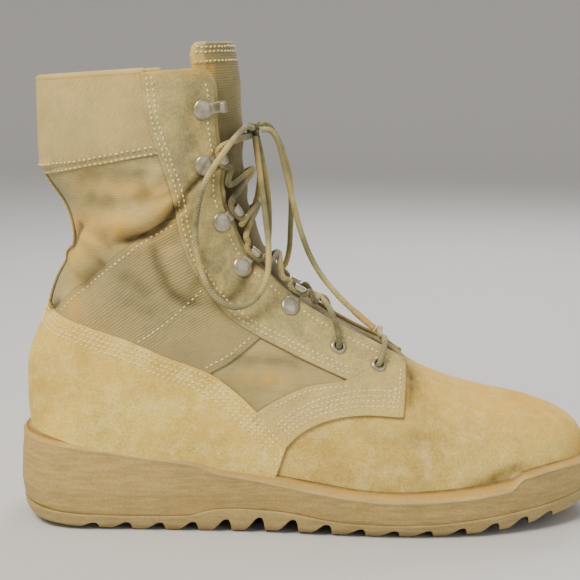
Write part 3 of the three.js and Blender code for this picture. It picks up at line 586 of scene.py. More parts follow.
def panel(low, high, inner_along, inner_across, thickness, edge=0.9, crown=0.0):
    """A sewn panel between two lines of rows and turns: its grids, UVs and marks.

    Each strip runs straight from the low line to the high one. The lift above the last is the
    thickness times a quarter circle of the distance from the cut edge, plus a crown as a sine.
    """
    chord = np.linalg.norm(skin(*low.T) - skin(*high.T), axis=-1)
    path = lengths(skin(*((low + high) / 2).T))
    along = np.interp(edge_places(path[-1], inner_along), path / path[-1], np.arange(len(low)))
    pick = lambda values: np.stack([np.interp(along, np.arange(len(low)), c) for c in values.T], -1)
    low, high, width = pick(low), pick(high), pick(chord[:, None])[:, 0]
    across = np.stack([edge_places(max(w, 4 * BORDER[-1]), inner_across) for w in width])
    spot = low[:, None] * (1 - across[..., None]) + high[:, None] * across[..., None]
    row, turn = spot[..., 0], spot[..., 1]
    flat = skin(row, turn)
    uv = grid_uv(flat)
    end = uv[..., 0] - uv[:1, :, 0]
    side = uv[..., 1]
    inset = np.minimum(np.minimum(end, end[-1:] - end), np.minimum(side, side[:, -1:] - side))
    quarter = np.sqrt(1 - (1 - np.clip(inset / edge, 0, 1)) ** 2)
    height, dirt_and_shade = relief(row, turn)
    out = normal(row, turn)
    lengthwise = np.sin(np.pi * np.linspace(0, 1, len(along)))[:, None] ** CROWN_ENDS
    swell = crown * np.sin(np.pi * across) * lengthwise
    height = height - pits(flat)
    # A painted shadow and dirt darken each cut edge.
    dirt_and_shade = np.clip(dirt_and_shade + EDGE_SHADE_AND_GRIME * bell(inset, 0, EDGE_SHADE_REACH), 0, 1)
    top = flat + out * (height + SEWN_DOWN + (thickness + swell) * quarter)[..., None]
    bottom = flat + out * (height + SEWN_DOWN)[..., None]
    marks = {"dirt_and_shade": [dirt_and_shade] * 2, "dust": [stain(row, turn)] * 2, "inset": [inset] * 2}
    return [top, bottom], [uv] * 2, marks


# %% [markdown]
# ## Materials
# The uppers are rough-out suede, the flesh side of the hide, napped and dyed sand. The shaft is
# nylon, ribbed by its weave. Colour varies on three scales: broad fading, palm-sized blotches, and
# the nap itself. Each mesh carries three marks that the materials read: dirt and painted shade in
# the creases, hollows and along edges, orange dust stains, and the distance from a cut edge, where
# the raw hide shows paler; on the sole that distance places a painted highlight instead.

# %% What the materials share: layers of colour, a pattern's shade, bumps, wear and painted shade
MIX_A, MIX_B = 6, 7  # a Mix node's sockets for two colours
OF_COLOURS = {"out": 2, "data_type": "RGBA"}  # a Mix node's settings for colours, and its output
# The dark colour is laid both as dirt and as painted shade in creases, hollows and under edges.
DIRT_AND_SHADE, DUST = "#33281A", "#DCA83C"


def noise(tree, place, size_mm, detail=3.0, stretch=(1, 1, 1)):
    """Noise whose lumps are about size_mm across: the place over the size, and then noise of scale 1."""
    scale = [s / (size_mm * MM) for s in stretch]
    scaled = node(tree, "ShaderNodeMapping", {"Vector": place, "Scale": scale})
    links = {"Vector": scaled, "Scale": 1.0, "Detail": detail, "Roughness": 0.6}
    return node(tree, "ShaderNodeTexNoise", links, "Fac")


def layered(tree, colour, layers):
    """Lays colours over a first one.

    Each layer has a value, the two values between which its share changes, that share at the first
    and at the second, and the colour.
    """
    for value, low, high, least, most, over in layers:
        share = node(tree, "ShaderNodeMapRange", [value, low, high, least, most])
        colour = node(tree, "ShaderNodeMix", {0: share, MIX_A: colour, MIX_B: linear(over)}, **OF_COLOURS)
    return colour


def shaded(tree, colour, value, low, high, dark, share):
    """Multiplies a colour by a pattern that is dark where the value is low and white where it is high."""
    tone = layered(tree, linear(dark), [(value, low, high, 0, 1, "#FFFFFF")])
    links = {0: share, MIX_A: colour, MIX_B: tone}
    return node(tree, "ShaderNodeMix", links, **OF_COLOURS, blend_type="MULTIPLY")


def weathered_and_shaded(tree, colour, place):
    """The dust stains and then the dirt and painted shade of creases, edges and hollows over a colour, both
    broken up by noise.
    """
    patch = noise(tree, place, 7.0, 4.0)
    broken = {}
    for name, low, high, least in (("dust", 0.35, 0.65, 0.35), ("dirt_and_shade", 0.25, 0.6, 0.55)):
        mark = node(tree, "ShaderNodeAttribute", out="Fac", attribute_name=name)
        patchy = node(tree, "ShaderNodeMapRange", [patch, low, high, least, 1])
        broken[name] = node(tree, "ShaderNodeMath", [mark, patchy], operation="MULTIPLY")
    return layered(tree, colour, [
        (broken["dust"], 0, 1, 0, 0.7, DUST), (broken["dirt_and_shade"], 0, 1, 0, 0.9, DIRT_AND_SHADE),
    ])


def emboss(tree, shader, *bumps):
    """Bumps, each over the one before: a height, its strength, and its depth in mm."""
    under = {}
    for height, strength, depth in bumps:
        links = {"Height": height, "Strength": strength, "Distance": depth * MM, **under}
        under = {"Normal": node(tree, "ShaderNodeBump", links)}
    tree.links.new(under["Normal"], shader.inputs["Normal"])


# %% Rough-out suede: split hide, napped, so it is matt and a little velvety
BLEACH_HEIGHTS = (0.062, 0.105)  # metres above the floor: bleached below the first, not above the second
RAW_EDGE = "#D9BE90"


def suede(name, base, shade, light, bleached=0.0):
    """Broad shades, light blotches, a bleached foot, the nap's specks, a raw edge, dust, and dirt with
    painted shade.
    """
    made, tree, shader = material(name, {
        "Roughness": 0.93, "Specular IOR Level": 0.25, "Sheen Weight": 0.12, "Sheen Roughness": 0.5,
        "Sheen Tint": linear("#EBCF94"),
    })
    place = node(tree, "ShaderNodeTexCoord", out="Object")
    broad = noise(tree, place, 34, 3)
    blotch = noise(tree, place, 8, 4)
    nap = noise(tree, place, 1.1, 3)  # real nap is finer, and is drawn this coarse to show
    height = node(tree, "ShaderNodeSeparateXYZ", [place], "Z")
    inset = node(tree, "ShaderNodeAttribute", out="Fac", attribute_name="inset")
    colour = layered(tree, linear(base), [
        (broad, 0.38, 0.62, 0, 1, shade), (blotch, 0.45, 0.7, 0, 0.75, light),
        (height, *BLEACH_HEIGHTS, bleached, 0, light),
    ])
    colour = shaded(tree, colour, nap, 0.3, 0.7, "#C4C4C4", 0.75)
    colour = layered(tree, colour, [(inset, 0.3, 1.3, 0.35, 0, RAW_EDGE)])
    tree.links.new(weathered_and_shaded(tree, colour, place), shader.inputs["Base Color"])
    emboss(tree, shader, (nap, 0.55, 0.35), (blotch, 0.4, 1.2))
    return made


VAMP_SUEDE = suede("rough-out suede, vamp", "#DFC268", "#C6AA5A", "#EBD48A")
COUNTER_SUEDE = suede("rough-out suede, heel counter", "#F0D26E", "#D6B95C", "#F8E490")
FACING_SUEDE = suede("rough-out suede, facings", "#B8AA70", "#9C9066", "#DDC479", 0.8)
print("suedes made")


# %% Woven nylon: heavy filament yarn, dyed, with ribs along its weft
def ribbed(name, base, shade, pitch_mm, depth, contrast, angle=0.0):
    """Ribs are a sine across the cloth's UVs, turned by an angle, broken by noise along the yarn."""
    made, tree, shader = material(name, {"Roughness": 0.78, "Specular IOR Level": 0.35, "Sheen Weight": 0.1})
    place = node(tree, "ShaderNodeTexCoord", out="Object")
    cloth = node(tree, "ShaderNodeUVMap", uv_map="cloth")
    turned = node(tree, "ShaderNodeMapping", {"Vector": cloth, "Rotation": (0, 0, math.radians(angle))})
    over = node(tree, "ShaderNodeSeparateXYZ", [turned], "Y")
    slub = noise(tree, turned, 1.0, 2.0, (0.18, 1.6, 1))
    uneven = node(tree, "ShaderNodeMath", [slub, 0.5 * pitch_mm * MM, over], operation="MULTIPLY_ADD")
    phase = node(tree, "ShaderNodeMath", [uneven, 2 * math.pi / (pitch_mm * MM)], operation="MULTIPLY")
    rib = node(tree, "ShaderNodeMath", [phase], operation="SINE")
    broad = noise(tree, place, 22, 3)
    colour = layered(tree, linear(base), [(broad, 0.36, 0.64, 0, 1, shade)])
    colour = shaded(tree, colour, rib, -1, 0.6, "#A39A86", contrast)
    colour = shaded(tree, colour, slub, 0.3, 0.7, "#C9C3B4", 0.5)
    tree.links.new(weathered_and_shaded(tree, colour, place), shader.inputs["Base Color"])
    emboss(tree, shader, (rib, 0.6, depth), (slub, 0.35, 0.3))
    return made


# The shaft's and the lining's yarns are about 0.5 mm wide, and are drawn at 0.9 mm to show.
SHAFT_NYLON = ribbed("woven nylon, shaft", "#C1AD74", "#A29967", 0.9, depth=0.06, contrast=0.12)
ANKLE_NYLON = ribbed("ribbed nylon webbing, ankle", "#AF9E69", "#9E9162", 1.5, depth=0.13, contrast=0.26)
TONGUE_NYLON = ribbed("ribbed nylon, tongue", "#9B8E5C", "#8A7F54", 1.2, depth=0.1, contrast=0.28)
COLLAR_TWILL = ribbed("nylon twill, collar", "#CCB575", "#B8A76C", 1.0, depth=0.06, contrast=0.16, angle=38)
LINING = ribbed("brushed lining cloth", "#A39572", "#948863", 0.9, depth=0.06, contrast=0.2)
print("cloths made")


# %% Moulded rubber and foam: cast in a mould, so it is smooth with faint flow lines
# Paler rubber: a painted highlight near an edge; where the mark is nil, as on the footbed, it is laid evenly
# at 0.45.
RUBBER_HIGHLIGHT = "#D9C591"


def moulded(name, base, shade, light, roughness):
    """Broad shades, flow lines along the mould, specks of dust, dirt and painted shade, and paler rubber
    near an edge as a painted highlight.
    """
    made, tree, shader = material(name, {"Roughness": roughness, "Specular IOR Level": 0.35})
    place = node(tree, "ShaderNodeTexCoord", out="Object")
    broad = noise(tree, place, 40, 3)
    streak = noise(tree, place, 5.0, 4.0, (0.35, 0.35, 2.4))
    speck = noise(tree, place, 1.2, 3)
    inset = node(tree, "ShaderNodeAttribute", out="Fac", attribute_name="inset")
    colour = layered(tree, linear(base), [
        (broad, 0.35, 0.65, 0, 1, shade), (streak, 0.4, 0.66, 0, 0.8, light),
    ])
    colour = shaded(tree, colour, speck, 0.3, 0.7, "#D2CABC", 0.6)
    colour = weathered_and_shaded(tree, colour, place)
    colour = layered(tree, colour, [(inset, 0, 7, 0.45, 0, RUBBER_HIGHLIGHT)])
    tree.links.new(colour, shader.inputs["Base Color"])
    emboss(tree, shader, (streak, 0.45, 0.6), (speck, 0.3, 0.2))
    return made


MIDSOLE_RUBBER = moulded("moulded rubber, midsole wall", "#B69C5F", "#A6925C", "#C6AC70", 0.66)
OUTSOLE_RUBBER = moulded("moulded rubber, ripple outsole", "#AD9966", "#9F8D5E", "#BEAA75", 0.64)
FOOTBED_FOAM = moulded("pressed foam, footbed", "#8C8064", "#7E745A", "#978A6C", 0.9)
print("rubbers made")


# %% Painted brass: stamped, then sprayed in a satin sand colour, so it keeps a soft shine
def painted_brass():
    """Cloudy paint: one noise moves both its colour and its roughness."""
    made, tree, shader = material(
        "stamped brass with satin paint", {"Metallic": 0.6, "Coat Weight": 0.25, "Coat Roughness": 0.25})
    cloud = noise(tree, node(tree, "ShaderNodeTexCoord", out="Object"), 3.0, 3)
    colour = layered(tree, linear("#ADA58C"), [(cloud, 0.4, 0.7, 0, 1, "#918A74")])
    tree.links.new(colour, shader.inputs["Base Color"])
    shine = node(tree, "ShaderNodeMapRange", [cloud, 0.3, 0.7, 0.22, 0.38])
    tree.links.new(shine, shader.inputs["Roughness"])
    return made


PAINTED_BRASS = painted_brass()


# %% Braided lace: polyester yarn plaited round a core, and polyester thread for the seams
STRANDS = 4  # diamonds of the plait round the lace


def yarn(name, base, shade, turns=0.0):
    """A plait is the larger of two sines that wind round the lace in opposite ways.

    turns is the plait's diamonds per metre along the lace; a thread has none. A real plait has twice
    as many, too fine to show.
    """
    made, tree, shader = material(name, {"Roughness": 0.8, "Specular IOR Level": 0.3, "Sheen Weight": 0.15})
    place = node(tree, "ShaderNodeTexCoord", out="Object")
    patch = noise(tree, place, 9.0, 3)
    colour = layered(tree, linear(base), [(patch, 0.4, 0.65, 0, 1, shade)])
    if turns:
        cloth = node(tree, "ShaderNodeUVMap", uv_map="cloth")
        length, around = (node(tree, "ShaderNodeSeparateXYZ", [cloth], axis) for axis in "XY")
        along = node(tree, "ShaderNodeMath", [length, turns * 2 * math.pi], operation="MULTIPLY")
        waves = []
        for way in (1, -1):
            wind = way * STRANDS * 2 * math.pi / MM
            phase = node(tree, "ShaderNodeMath", [around, wind, along], operation="MULTIPLY_ADD")
            waves.append(node(tree, "ShaderNodeMath", [phase], operation="SINE"))
        plait = node(tree, "ShaderNodeMath", waves, operation="MAXIMUM")
        colour = shaded(tree, colour, plait, -0.4, 0.5, "#9A8E74", 0.4)
        colour = weathered_and_shaded(tree, colour, place)
        emboss(tree, shader, (plait, 0.6, 0.25))
    tree.links.new(colour, shader.inputs["Base Color"])
    return made


LACE_BRAID = yarn("plaited polyester lace", "#B6AE79", "#989063", turns=640)
THREAD = yarn("polyester thread, cream", "#E2D6AE", "#CDBE90")
DYED_THREAD = yarn("polyester thread, sand", "#EADCAC", "#D3C592")
print("materials:", ", ".join(m.name for m in bpy.data.materials))

# %% [markdown]
# ## The shell
# The upper's outer face is one surface from toe to collar. Two half-grids start at the ridge, or at
# the throat's edges where it is open, and meet at the back seam. Faces below a line that the sewn
# quarters hide are suede, and the rest is nylon. Solidify then adds the wall, with the lining
# inside.

# %% The shell of the upper
SHELL_COLUMNS = 80
fore_rows = np.linspace(0, 8.2, 60)
mouth_rows = THROAT_ROW + THROAT_ROUNDING * (1 - np.cos(np.linspace(0, np.pi / 2, 14)))
shaft_rows = np.linspace(THROAT_ROW + THROAT_ROUNDING, COLLAR - CORNER_ROWS, 190)
corner_rows = COLLAR - CORNER_ROWS * np.cos(np.linspace(0, np.pi / 2, 10))
shell_rows = np.concatenate([fore_rows, mouth_rows, shaft_rows[1:], corner_rows[1:]])
# The seam between vamp and nylon, hidden under the quarters: x, and the height that it has there.
VAMP_SEAM = ([0, 110, 130, 150, 170, 190, 204, 206], [60, 60, 61, 64, 69, 71, 76, 300])


def half_shell(side):
    """Rows by columns of turns, from the throat's edge or the ridge round to the back."""
    row = np.repeat(shell_rows[:, None], SHELL_COLUMNS + 1, axis=1)
    _, _, _, close, gap = section(shell_rows)
    start = np.where(gap > 0, np.abs(turn_at(shell_rows, gap, side)), 0)
    share = np.linspace(0, 1, SHELL_COLUMNS + 1) ** 1.05
    turn = -side * (start[:, None] + (close - start)[:, None] * share)
    points = shell(row, turn, np.zeros(row.shape), holes=1.0)
    flat = skin(row, turn)
    steps = np.linalg.norm(np.diff(flat[::-1], axis=0, prepend=flat[-1:]), axis=-1)
    uv = np.stack([grid_uv(flat)[..., 1], np.cumsum(steps, axis=0)[::-1]], -1)
    middle = (flat[1:, 1:] + flat[:-1, :-1]) / 2
    cloth = middle[..., 2] > np.interp(middle[..., 0], *VAMP_SEAM)
    cloth &= middle[..., 0] < VAMP_SEAM[0][-1]
    dirt_and_shade = relief(row, turn)[1]
    return points, uv, {"dirt_and_shade": dirt_and_shade, "dust": stain(row, turn), "inset": FAR + 0 * dirt_and_shade}, cloth


halves = [half_shell(side) for side in SIDES.values()]
shell_piece = new_piece(
    "suede_and_nylon_shell", [h[0] for h in halves], [VAMP_SUEDE, SHAFT_NYLON, LINING],
    ["upper"], [h[1] for h in halves],
    {key: [h[2][key] for h in halves] for key in halves[0][2]}, [h[3] for h in halves],
)
wall = shell_piece.modifiers.new("wall", "SOLIDIFY")
wall.thickness = WALL * MM
wall.offset = -1
wall.material_offset = 2
wall.material_offset_rim = 2
print("wall of", WALL, "mm")

# %% [markdown]
# ## The sewn panels
# A suede counter wraps the heel, and a quarter on each side carries the lacing and reaches forward
# as a tab. They are cut from thick split hide, so each panel has a raised, slightly rounded edge.
# Building them as strips between two lines keeps their corners exact.

# %% The heel counter
COUNTER_TOP = [
    (145, 48.5), (129, 65.2), (118, 75.3), (106, 84), (83, 93), (64, 101.5), (38, 109.7), (26, 113.4),
    (17.5, 118),
]
COUNTER_FOOT = 10.72  # row where the counter's front edge meets the sole
HIDE = 1.9  # mm of split hide
counter_top = side_line(COUNTER_TOP, 160)
counter_top[-1, 1] = np.pi
feather = lambda rows: section(rows)[3]
EVEN_OUT = [8, 1]  # weights of a row and a turn, so that the points come evenly
counter_low = resample(rows_line(np.linspace(COUNTER_FOOT, 17, 400), feather) * EVEN_OUT, 160) / EVEN_OUT
grids, uvs, marks = panel(round_the_back(counter_low), round_the_back(counter_top), 300, 40, HIDE)
new_piece("suede_heel_counter", grids, COUNTER_SUEDE, ["heel_counter"], uvs, marks)

# %% The quarters with their facings and tabs
QUARTER_BACK = [
    (73.2, 234.4), (75.8, 211), (80.6, 195), (86.5, 176), (90, 155), (98, 133.5), (115, 111.7), (146, 93.2),
    (175.5, 79.2),
]
QUARTER_WINDOW = [(175.5, 79.2), (155, 77.4), (135.6, 69), (124, 61)]
QUARTER_FOOT = [(203.5, 61.1), (183, 62.9), (164.3, 60), (151, 53.2), (143, 45)]
TAB_X = 206.2  # the front of the tab
FACING_SET_BACK = 1.2  # of the suede from the throat's edge


def facing_edge(row):
    """The turn of the facing's free edge, a little back from the throat."""
    return np.abs(turn_at(row, np.maximum(section(row)[4], THROAT_LEAST) + FACING_SET_BACK, LATERAL))


tab_rows = np.linspace(8, 9.5, 300)
tab_row = np.interp(-TAB_X, -skin(tab_rows, facing_edge(tab_rows))[:, 0], tab_rows)
back_line = side_line(QUARTER_BACK, 400)
back_line[0, 0] = COLLAR - 0.02
front_line = rows_line(np.linspace(COLLAR - 0.02, tab_row, 400), facing_edge)
window_line = side_line(QUARTER_WINDOW, 120)
foot_line = side_line(QUARTER_FOOT, 120)
tab_line = locate(np.stack([np.linspace(TAB_X, 203.5, 40), np.linspace(85, 61.1, 40)], -1))
tab_line[0] = front_line[-1]


def by_length(line, count):
    """Rows and turns at even distances over the last."""
    along = lengths(skin(*line.T))
    return np.stack([np.interp(np.linspace(0, along[-1], count), along, c) for c in line.T], -1)


TURN_AT_APEX = 22  # of the window line's points, passed while the other side rounds the tab
quarter_low = np.concatenate([by_length(back_line, 200), by_length(window_line[:TURN_AT_APEX], 30)[1:],
                              by_length(window_line[TURN_AT_APEX - 1 :], 70)[1:]])
quarter_high = np.concatenate([by_length(front_line, 200), by_length(tab_line, 30)[1:],
                               by_length(foot_line, 70)[1:]])
for name, side in SIDES.items():
    grids, uvs, marks = panel(on_side(quarter_low, side), on_side(quarter_high, side), 260, 44, HIDE)
    new_piece(f"suede_quarter_{name}", grids, FACING_SUEDE, [f"facing_{name}"], uvs, marks)

# %% [markdown]
# ## The collar, the ankle panels and the back strip
# The collar is a padded band of twill, so it swells between its seam and its rolled top. Ribbed
# webbing covers the ankle on each side, and a strip of nylon runs up the back seam. The roll is a
# tube carried along the collar's edge, because a folded cloth edge is round.

# %% Tubes along a path
def frames(path):
    """Two normals along a path. Each is the one before, made square to the new tangent."""
    tangent = unit(np.gradient(path, axis=0))
    carried = [unit(np.cross(tangent[0], [0.3, 0.5, 1.0]))]
    for t in tangent[1:]:
        carried.append(unit(carried[-1] - t * (carried[-1] @ t)))
    first = np.array(carried)
    return first, np.cross(tangent, first)


def tube(path, radius, sides=12, closed=False):
    """Circles square to the path, with both ends drawn in to a point: its grid and its UVs."""
    radius = np.broadcast_to(np.asarray(radius, float), len(path)).copy()
    first, second = frames(path)
    angle = np.linspace(0, 2 * np.pi, sides + 1)[None, :, None]
    ring = first[:, None] * np.cos(angle) + second[:, None] * np.sin(angle)
    grid = path[:, None] + radius[:, None, None] * ring
    along = lengths(path)
    if not closed:
        ends = [np.repeat(path[k][None, None], sides + 1, axis=1) for k in (0, -1)]
        grid = np.concatenate([ends[0], grid, ends[1]])
        along = np.concatenate([[along[0]], along, [along[-1]]])
    around = np.linspace(0, 1, sides + 1)
    return grid, np.stack(np.broadcast_arrays(along[:, None], around[None]), -1)


# %% The collar band and its roll
SEAM = [(90, 196.8), (81.6, 194.9), (62.2, 191.2), (41, 187), (21.5, 182.8)]
COLLAR_START = math.radians(84)  # the turn at which the band comes out from under the facing
seam_line = side_line(SEAM, 120)
seam_line[-1, 1] = np.pi
top_line = np.stack([np.full(120, COLLAR - 0.04), np.linspace(COLLAR_START, np.pi, 120)], -1)
band = [round_the_back(line) for line in (seam_line, top_line)]
grids, uvs, marks = panel(*band, 200, 34, 0.9, edge=1.2, crown=0.6)
new_piece("twill_collar_band", grids, COLLAR_TWILL, (), uvs, marks)

roll_turns = np.linspace(COLLAR_START, 2 * np.pi - COLLAR_START, 160)
roll_path = shell(np.full(160, COLLAR - 0.06), roll_turns, -1.0)
ROLL_RADIUS, ROLL_GIRTH = 2.05, 13.5  # mm, and the girth spreads the twill's UVs round the roll
grid, uv = tube(roll_path, ROLL_RADIUS, 16)
marks = even_marks([grid], 0, 0.25)
new_piece("twill_collar_roll", [grid], COLLAR_TWILL, (), [uv * [1, ROLL_GIRTH]], marks)

# %% The ankle panels
ANKLE_TOP = [
    (23, 112), (28, 118), (44.5, 133.5), (57, 143.2), (69, 152.6), (78, 158.2), (88, 163.5), (98, 168),
]
ANKLE_MIDDLE = [(60, 95), (68.3, 100.1), (78, 106), (89.7, 115.2), (101.3, 126.2), (108, 133)]
ANKLE_FRONT = [(98, 79), (105.4, 84.1), (116.4, 90.1), (130.6, 101.2), (138, 107)]
ankle_low, ankle_high = side_line(ANKLE_TOP, 100), side_line(ANKLE_FRONT, 100)
for name, side in SIDES.items():
    grids, uvs, marks = panel(on_side(ankle_low, side), on_side(ankle_high, side), 70, 56, 1.0, edge=0.6)
    new_piece(f"webbing_ankle_{name}", grids, ANKLE_NYLON, (), uvs, marks)

# %% The strip up the back
BACK_HALF = 9.0
back_rows = np.linspace(19.6, 23.85, 90)
half_turn = np.abs(turn_at(back_rows, BACK_HALF, LATERAL))
grids, uvs, marks = panel(
    np.stack([back_rows, np.pi - half_turn], -1), np.stack([back_rows, np.pi + half_turn], -1), 70, 14, 1.5)
new_piece("nylon_back_strip", grids, SHAFT_NYLON, (), uvs, marks)

# %% [markdown]
# ## The tongue
# The tongue is a padded strip of ribbed nylon under the facings. It stands above the collar and its
# side edges are bound. A slab between an outer and an inner lift over the last follows the throat.

# %% The tongue: row of the last, half-width, rise above the collar
TONGUE = np.array([
    (7.8, 17, 0), (8.8, 20, 0), (10, 21, 0), (11, 22, 0), (12, 23, 0), (13, 24, 0), (14, 25, 0),
    (15.5, 26.5, 0), (17.5, 28, 0), (20, 29.5, 0), (22, 30.5, 0), (23.5, 31.5, 0), (25, 32.5, 0),
    (26, 33, 0), (26, 32.6, 6), (26, 31.6, 10.2), (26, 30, 12.3),
])
TONGUE_TOP, TONGUE_THICK = -3.8, 3.2  # under the outside of the upper, and its padding
TONGUE_LEAN = -0.25  # backward, for each mm above the collar
TONGUE_EDGE = 1.6  # mm, rounding of its edge
FOLD_HEIGHT, FOLD_MIDDLE, FOLD_REACH = 0.7, 8, 4  # small folds at the ankle, by the table's rows
HEM_RISE, HEM_START, HEM_END = 0.5, 11.5, 10.5  # mm, and mm from the top
BOUND_SHARE = 0.9  # of the half-width: beyond it the edge is bound in twill
CROWDING = 0.96  # of a quarter turn: how closely the columns crowd to the edges
UNDARKENED_ROW, DARKEST_ROW = 12.8, 9  # rows of the table between which dirt and painted shade fade out
MIDDLE_DARKENING, DARKENING_EDGES = 0.4, (0.3, 0.75)  # dirt and painted shade on the middle, and where they rise, by the half-width
STAIN_ROW, STAIN_REACH = 12.2, 1.6  # the dust stain on the edges, at the ankle
tongue_rows, tongue_columns = 230, 44
place = np.linspace(0, len(TONGUE) - 1, tongue_rows)
row, half, rise = (np.interp(place, np.arange(len(TONGUE)), c) for c in TONGUE.T)
quarter_turn = np.pi / 2 * CROWDING
across = np.sin(np.linspace(-quarter_turn, quarter_turn, tongue_columns)) / math.sin(quarter_turn)
row, rise = (np.repeat(v[:, None], tongue_columns, 1) for v in (row, rise))
y = half[:, None] * across[None]
turn = np.where(y < 0, turn_at(row, y, LATERAL), turn_at(row, y, MEDIAL))
flat = skin(row, turn) + np.stack([TONGUE_LEAN * rise, 0 * rise, rise], -1)
tongue_out = normal(row, turn)
tongue_uv = grid_uv(flat)
from_top = tongue_uv[-1:, :, 0] - tongue_uv[..., 0]
from_side = np.minimum(tongue_uv[..., 1], tongue_uv[:, -1:, 1] - tongue_uv[..., 1])
inset = np.minimum(np.minimum(tongue_uv[..., 0], from_top), from_side)
round_edge = np.sqrt(1 - (1 - np.clip(inset / TONGUE_EDGE, 0, 1)) ** 2)
at, wide = place[:, None], np.abs(across)[None]
folds = FOLD_HEIGHT * np.sin(at * 3.1 + 1.4 * across[None]) * bell(at, FOLD_MIDDLE, FOLD_REACH)
hem = HEM_RISE * smoothstep(-from_top, -HEM_START, -HEM_END)
middle = TONGUE_TOP - TONGUE_THICK / 2
tongue_top = flat + tongue_out * (middle + folds + (TONGUE_THICK / 2 + hem) * round_edge)[..., None]
tongue_bottom = flat + tongue_out * (middle + folds - TONGUE_THICK / 2 * round_edge)[..., None]
bound = np.repeat(np.abs(across[1:] + across[:-1])[None] / 2 > BOUND_SHARE, tongue_rows - 1, axis=0)
# Dirt and painted shade darken the foot, most by the edges under the facings, and a dust stain is left where
# the ankle bends.
soil_and_shade = MIDDLE_DARKENING + (1 - MIDDLE_DARKENING) * smoothstep(wide, *DARKENING_EDGES)
soil_and_shade = soil_and_shade * smoothstep(at, UNDARKENED_ROW, DARKEST_ROW)
dusty = 0.9 * (wide > 0.8) * bell(at, STAIN_ROW, STAIN_REACH)
marks = {"dirt_and_shade": [soil_and_shade] * 2, "dust": [dusty] * 2, "inset": [FAR + 0 * soil_and_shade] * 2}
new_piece("ribbed_nylon_tongue", [tongue_top, tongue_bottom], [TONGUE_NYLON, COLLAR_TWILL],
          ["tongue"], [tongue_uv[..., ::-1]] * 2, marks, [bound, bound])

# %% [markdown]
# ## The sole
# The sole is moulded in one piece with a wall that curves in at the bottom, a raised bead round its
# lip, and saw-like ripples across the tread. Rings of its plan, each at its own height and inset,
# make the wall. Cross-sections placed exactly on the ripples' corners make the tread.

# %% The plan and heights of the sole, in mm along its length
PLAN = np.array([
    (0, 38, 37), (55, 39.2, 37.5), (100, 41.4, 36.9), (135, 44.2, 38.3), (170, 49.6, 43.4),
    (205, 54.4, 49.8), (235, 54.8, 51.2), (265, 51.6, 47.6), (310, 47, 41.5),
])
HEEL_ROUNDING, TOE_ROUNDING, END_POWER = 40.0, 74.0, 2.3
HEEL_TUCK = 1.5  # the heel is drawn in, and the rest of the sole less and less
# Each row: x, then the underside of the tread, the top of the outsole and the lip of the wall.
TREAD, OUTSOLE_TOP, LIP = 1, 2, 3
HEIGHTS = np.array([
    (-6, 13, 13.4, 51), (6, 5.4, 11.8, 49.6), (22, 2.7, 10.3, 48.4), (48, 1.3, 9, 45.6),
    (74, 0, 8.8, 42.6), (94, 0, 9.6, 41.2), (100, 0, 11.6, 39.6), (108, 0, 13.6, 36.8),
    (125, 0.9, 14, 34.6), (146, 1.2, 12.6, 31.2), (164, 0.7, 9.6, 28.4), (181, 0, 8, 26.2),
    (201, 0, 7.8, 25.2), (221, 0, 8.6, 26), (241, 1.6, 10.6, 27.6), (262, 4.2, 12.8, 30.2),
    (284, 7.4, 15.2, 32.8), (300, 10, 17.6, 32.4), (316, 13, 20, 32),
])
# The wall's inset at each height.
INSETS = np.array([(-1, 6.4), (4, 2.8), (10, 1.3), (22, 0), (38, 0.9), (54, 2.6)])
PLAN_HALF = 38.0  # mm: the half-width against which an inset is taken


def curve(table, x, column):
    """A cubic through a table's rows: each end of a span has the slope between its neighbours."""
    knots, values = table[:, 0], table[:, column]
    ends = np.diff(values) / np.diff(knots)
    slope = np.concatenate([ends[:1], (values[2:] - values[:-2]) / (knots[2:] - knots[:-2]), ends[-1:]])
    i = np.clip(np.searchsorted(knots, x, side="right") - 1, 0, len(knots) - 2)
    span = knots[i + 1] - knots[i]
    t = np.clip((x - knots[i]) / span, 0, 1)
    start = (2 * t**3 - 3 * t**2 + 1) * values[i] + (t**3 - 2 * t**2 + t) * span * slope[i]
    return start + (3 * t**2 - 2 * t**3) * values[i + 1] + (t**3 - t**2) * span * slope[i + 1]


def plan_half(x, side):
    """Half-width of the plan: the table's, times a superellipse over each rounded end."""
    def end(distance, length):
        """1 minus (1 - t) to the power n, all to the power 1 / n, where t is distance over length."""
        t = np.clip(distance / length, 0, 1)
        return (1 - (1 - t) ** END_POWER) ** (1 / END_POWER)
    half = curve(PLAN, x, 1 if side == LATERAL else 2)
    return half * end(x, HEEL_ROUNDING) * end(SOLE_LENGTH - x, TOE_ROUNDING)


def wall_point(x, z, side, extra=0.0):
    """A point of the wall: the plan drawn in by the height's inset, along and across."""
    inset = np.interp(z, *INSETS.T) + extra
    forward = x + inset * (1 - 2 * x / SOLE_LENGTH) + HEEL_TUCK * (1 - x / SOLE_LENGTH)
    y = swing(x) + side * plan_half(x, side) * (1 - inset / PLAN_HALF)
    return np.stack(np.broadcast_arrays(forward, y, z), -1)


# %% The midsole wall
stations = SOLE_LENGTH * (1 - np.cos(np.linspace(0, np.pi, 180))) / 2
lip = curve(HEIGHTS, stations, LIP)
seam = np.maximum(curve(HEIGHTS, stations, OUTSOLE_TOP), 0)
feathers = LAST[LAST[:, 6] < 150][::-1]  # the sections that close on the sole, where the upper is lasted
feather_z = np.interp(stations, feathers[:, 2], feathers[:, 3])
